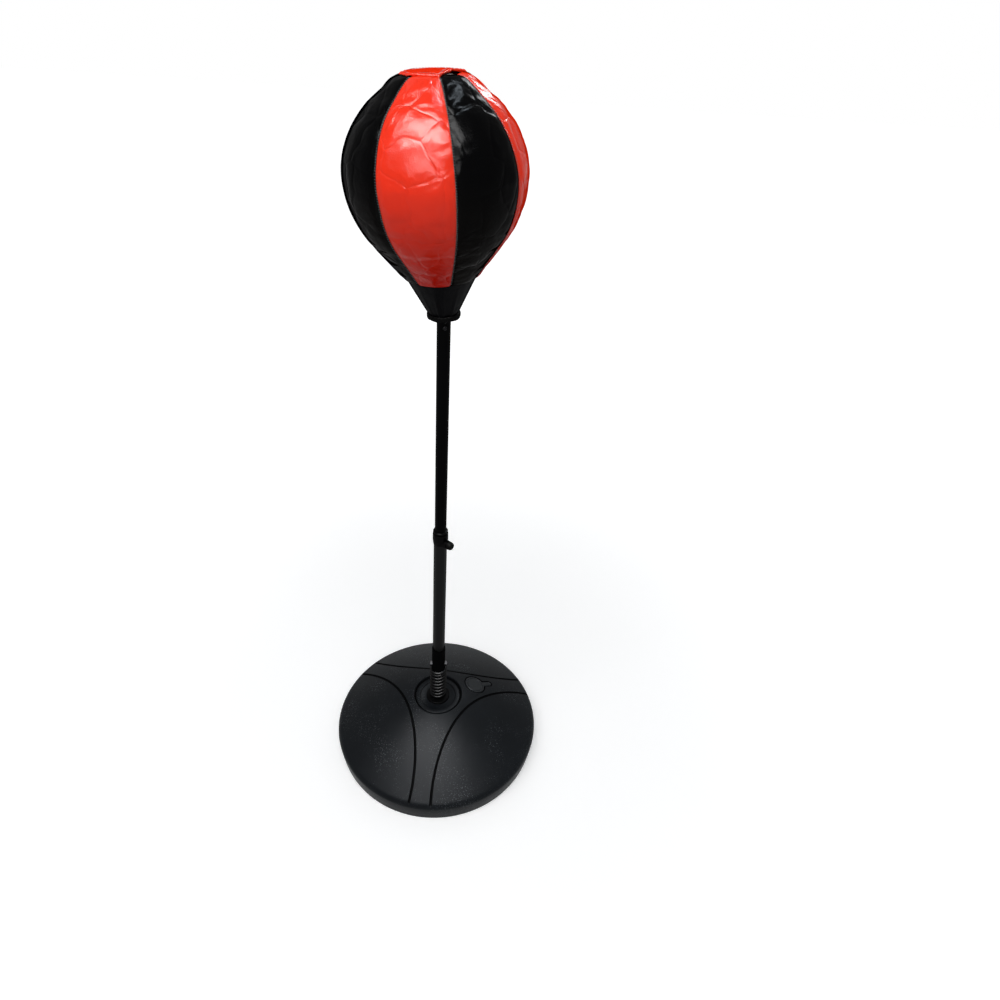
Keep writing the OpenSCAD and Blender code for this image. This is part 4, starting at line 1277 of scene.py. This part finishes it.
skirt_slope = (skirt_top_radius - skirt_low_radius) / (hem_height - rim_height)
skirt_foot = rim_height - rim_tuck
skirt_places = []
for j in range(skirt_rows + 1):
    share = j / skirt_rows
    h = skirt_foot + (hem_height + skirt_tuck - skirt_foot) * share
    r = skirt_low_radius + skirt_slope * (h - rim_height)
    over = max(0.0, h - hem_height + hem_ease)
    for i in range(skirt_columns):
        turn = 2 * math.pi * i / skirt_columns
        reach = r + skirt_fold(turn, share) - over * 0.15
        skirt_places.append((reach * math.cos(turn), reach * math.sin(turn), h))
neck_skirt = add_piece("neck_skirt_sewn", ball_mesh(
    "neck_skirt_sewn", skirt_places, sheet_faces(skirt_rows, skirt_columns, skirt_columns)))
give_thickness(neck_skirt, skirt_thickness)
skirt_leather = finish_with(
    leathercloth, "skirt_leather", (0.0008, 0.7), rough=(0.30, 0.42), shine=0.035, dark_rim=True,
    Colour=(0.0016, 0.0016, 0.002), Deeper=(0.0016, 0.0016, 0.002), Crease=0.5)
give(neck_skirt, skirt_leather)
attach(neck_skirt, "ball")
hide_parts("neck_skirt")

# ---- Rolled neck rim ----
# The skirt's lower edge is rolled over a cord and sewn, which makes a thick, slightly lumpy ring round
# the pole. It is one closed ring with small gathers.
rim_columns = 220
rim_sides = 18
rim_lumps = 0.00040
rim_gathers = 0.00018
rim_sag = 0.0005
rim_squareness = 0.75
rim_half_width = rim_width / 2 - 0.0002
rim_half_height = rim_height / 2 - 0.0004


def squared(value):
    """A sine or cosine that stays near its ends for longer, which squares a round section."""
    return math.copysign(abs(value) ** rim_squareness, value)


rim_places = []
for i in range(rim_columns):
    turn = 2 * math.pi * i / rim_columns
    lump = rim_lumps * noise.noise(Vector((math.cos(turn) * 3.2, math.sin(turn) * 3.2, 1.1)))
    lump += rim_gathers * math.sin(turn * 31 + 2 * math.sin(turn * 4))
    sag = rim_sag * math.sin(turn * 5 + 1.2)
    for k in range(rim_sides):
        b = 2 * math.pi * k / rim_sides
        c, s = math.cos(b), math.sin(b)
        r = rim_inner + rim_width / 2 + squared(c) * (rim_half_width + (lump if c > 0 else 0))
        h = rim_height / 2 + squared(s) * rim_half_height + sag * (0.5 - 0.5 * s)
        rim_places.append((r * math.cos(turn), r * math.sin(turn), h))
rim_strips = turned_over(sheet_faces(rim_columns, rim_sides, rim_sides))
rim_faces = [[corner % len(rim_places) for corner in face] for face in rim_strips]
neck_rim = add_piece("neck_rim_rolled", ball_mesh("neck_rim_rolled", rim_places, rim_faces))
rim_rubber = finish_with(
    leathercloth, "rim_rubber", (0.0006, 0.6), rough=(0.40, 0.55), shine=0.03, dark_rim=True,
    Colour=(0.0008, 0.0008, 0.0008), Deeper=(0.0008, 0.0008, 0.0008), Crease=0.3)
give(neck_rim, rim_rubber)
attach(neck_rim, "ball")
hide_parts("neck_rim")

# ---- Inside the ball ----
# The hard cup on the pole's top carries the moulded foot of the rubber bladder, which is blown up through
# a valve beside the pole. None of them shows except from below, through the neck.
bladder_slack = 0.994  # keeps the bladder clear of the panels
give(nodes["ball_cup"], foot_plastic)
bladder_rubber = finish_with(
    moulded_grain, "bladder_rubber", (0.0001, 0.4), rough=(0.6, 0.75),
    Grain=500.0, Colour=(0.05, 0.045, 0.04), Lighter=(0.07, 0.065, 0.06), Specks=0.0)
bladder_mesh = nodes["bladder"].data.copy()
bladder_mesh.transform(ball_frame.inverted() @ nodes["bladder"].matrix_world)
bladder_places = settled([vertex.co for vertex in bladder_mesh.vertices])
bladder_places[:, :2] *= bladder_slack
bladder_mesh.vertices.foreach_set("co", bladder_places.astype(np.float32).ravel())
bladder_mesh.transform(ball_frame)
bladder = add_piece("bladder_blown", bladder_mesh)
give(bladder, bladder_rubber)
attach(bladder, "ball")
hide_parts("bladder")
give(nodes["bladder_valve"], shoe_rubber)

# ---- Image points ----
# Where the outline and the named features show, set against their places in the photograph.
graph = bpy.context.evaluated_depsgraph_get()


def shown_vertices(*pieces):
    """Every vertex of the finished pieces, as pixels."""
    places = []
    for piece in pieces:
        done = piece.evaluated_get(graph)
        mesh = done.to_mesh()
        co = np.zeros(len(mesh.vertices) * 3, np.float32)
        mesh.vertices.foreach_get("co", co)
        world = np.array(done.matrix_world)
        places.append(co.reshape(-1, 3) @ world[:3, :3].T + world[:3, 3])
        done.to_mesh_clear()
    return seen_at(np.concatenate(places))


everything = shown_vertices(*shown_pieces())
ball_seen = shown_vertices(*panels, top_cap)
knob_seen = shown_vertices(nodes["clamp_knob"])
collar_seen = shown_vertices(nodes["clamp_collar"])
rim_seen = shown_vertices(neck_rim)
edges = {
    "object_left_x": (339.5, everything[:, 0].min()),
    "object_right_x": (533.1, everything[:, 0].max()),
    "object_top_y": (67.8, everything[:, 1].min()),
    "object_bottom_y": (817.2, everything[:, 1].max()),
    "ball_left_x": (340.3, ball_seen[:, 0].min()),
    "ball_right_x": (529.5, ball_seen[:, 0].max()),
    "knob_right_x": (454.5, knob_seen[:, 0].max()),
    "collar_left_x": (433.6, collar_seen[:, 0].min()),
    "collar_top_y": (528.2, collar_seen[collar_seen[:, 0] < collar_seen[:, 0].min() + 1.5, 1].min()),
    "rim_left_x": (427.0, rim_seen[:, 0].min()),
    "rim_right_x": (460.5, rim_seen[:, 0].max()),
}
note_point("seat_middle", 438.9, 693.8, Vector((0, 0, dome_z(seat_radius))))
note_point("hem_corner_left", 416.5, 284.2, ball_frame @ Vector(swollen[0, 5 * columns]))
widest = int(np.argmin(np.abs(swollen[:, 6 * columns, 2] - 0.196)))
note_point("front_seam_widest", 455.5, 165.1, ball_frame @ Vector(swollen[widest, 6 * columns]))
report = {
    name: {"photo": p, "shown": round(float(s), 2), "off": round(float(s) - p, 2)}
    for name, (p, s) in edges.items()
}
for name, (x, y) in image_points.items():
    sx, sy = shown_at[name]
    report[name] = {
        "photo": [x, y], "shown": [round(sx, 2), round(sy, 2)], "off": [round(sx - x, 2), round(sy - y, 2)]}
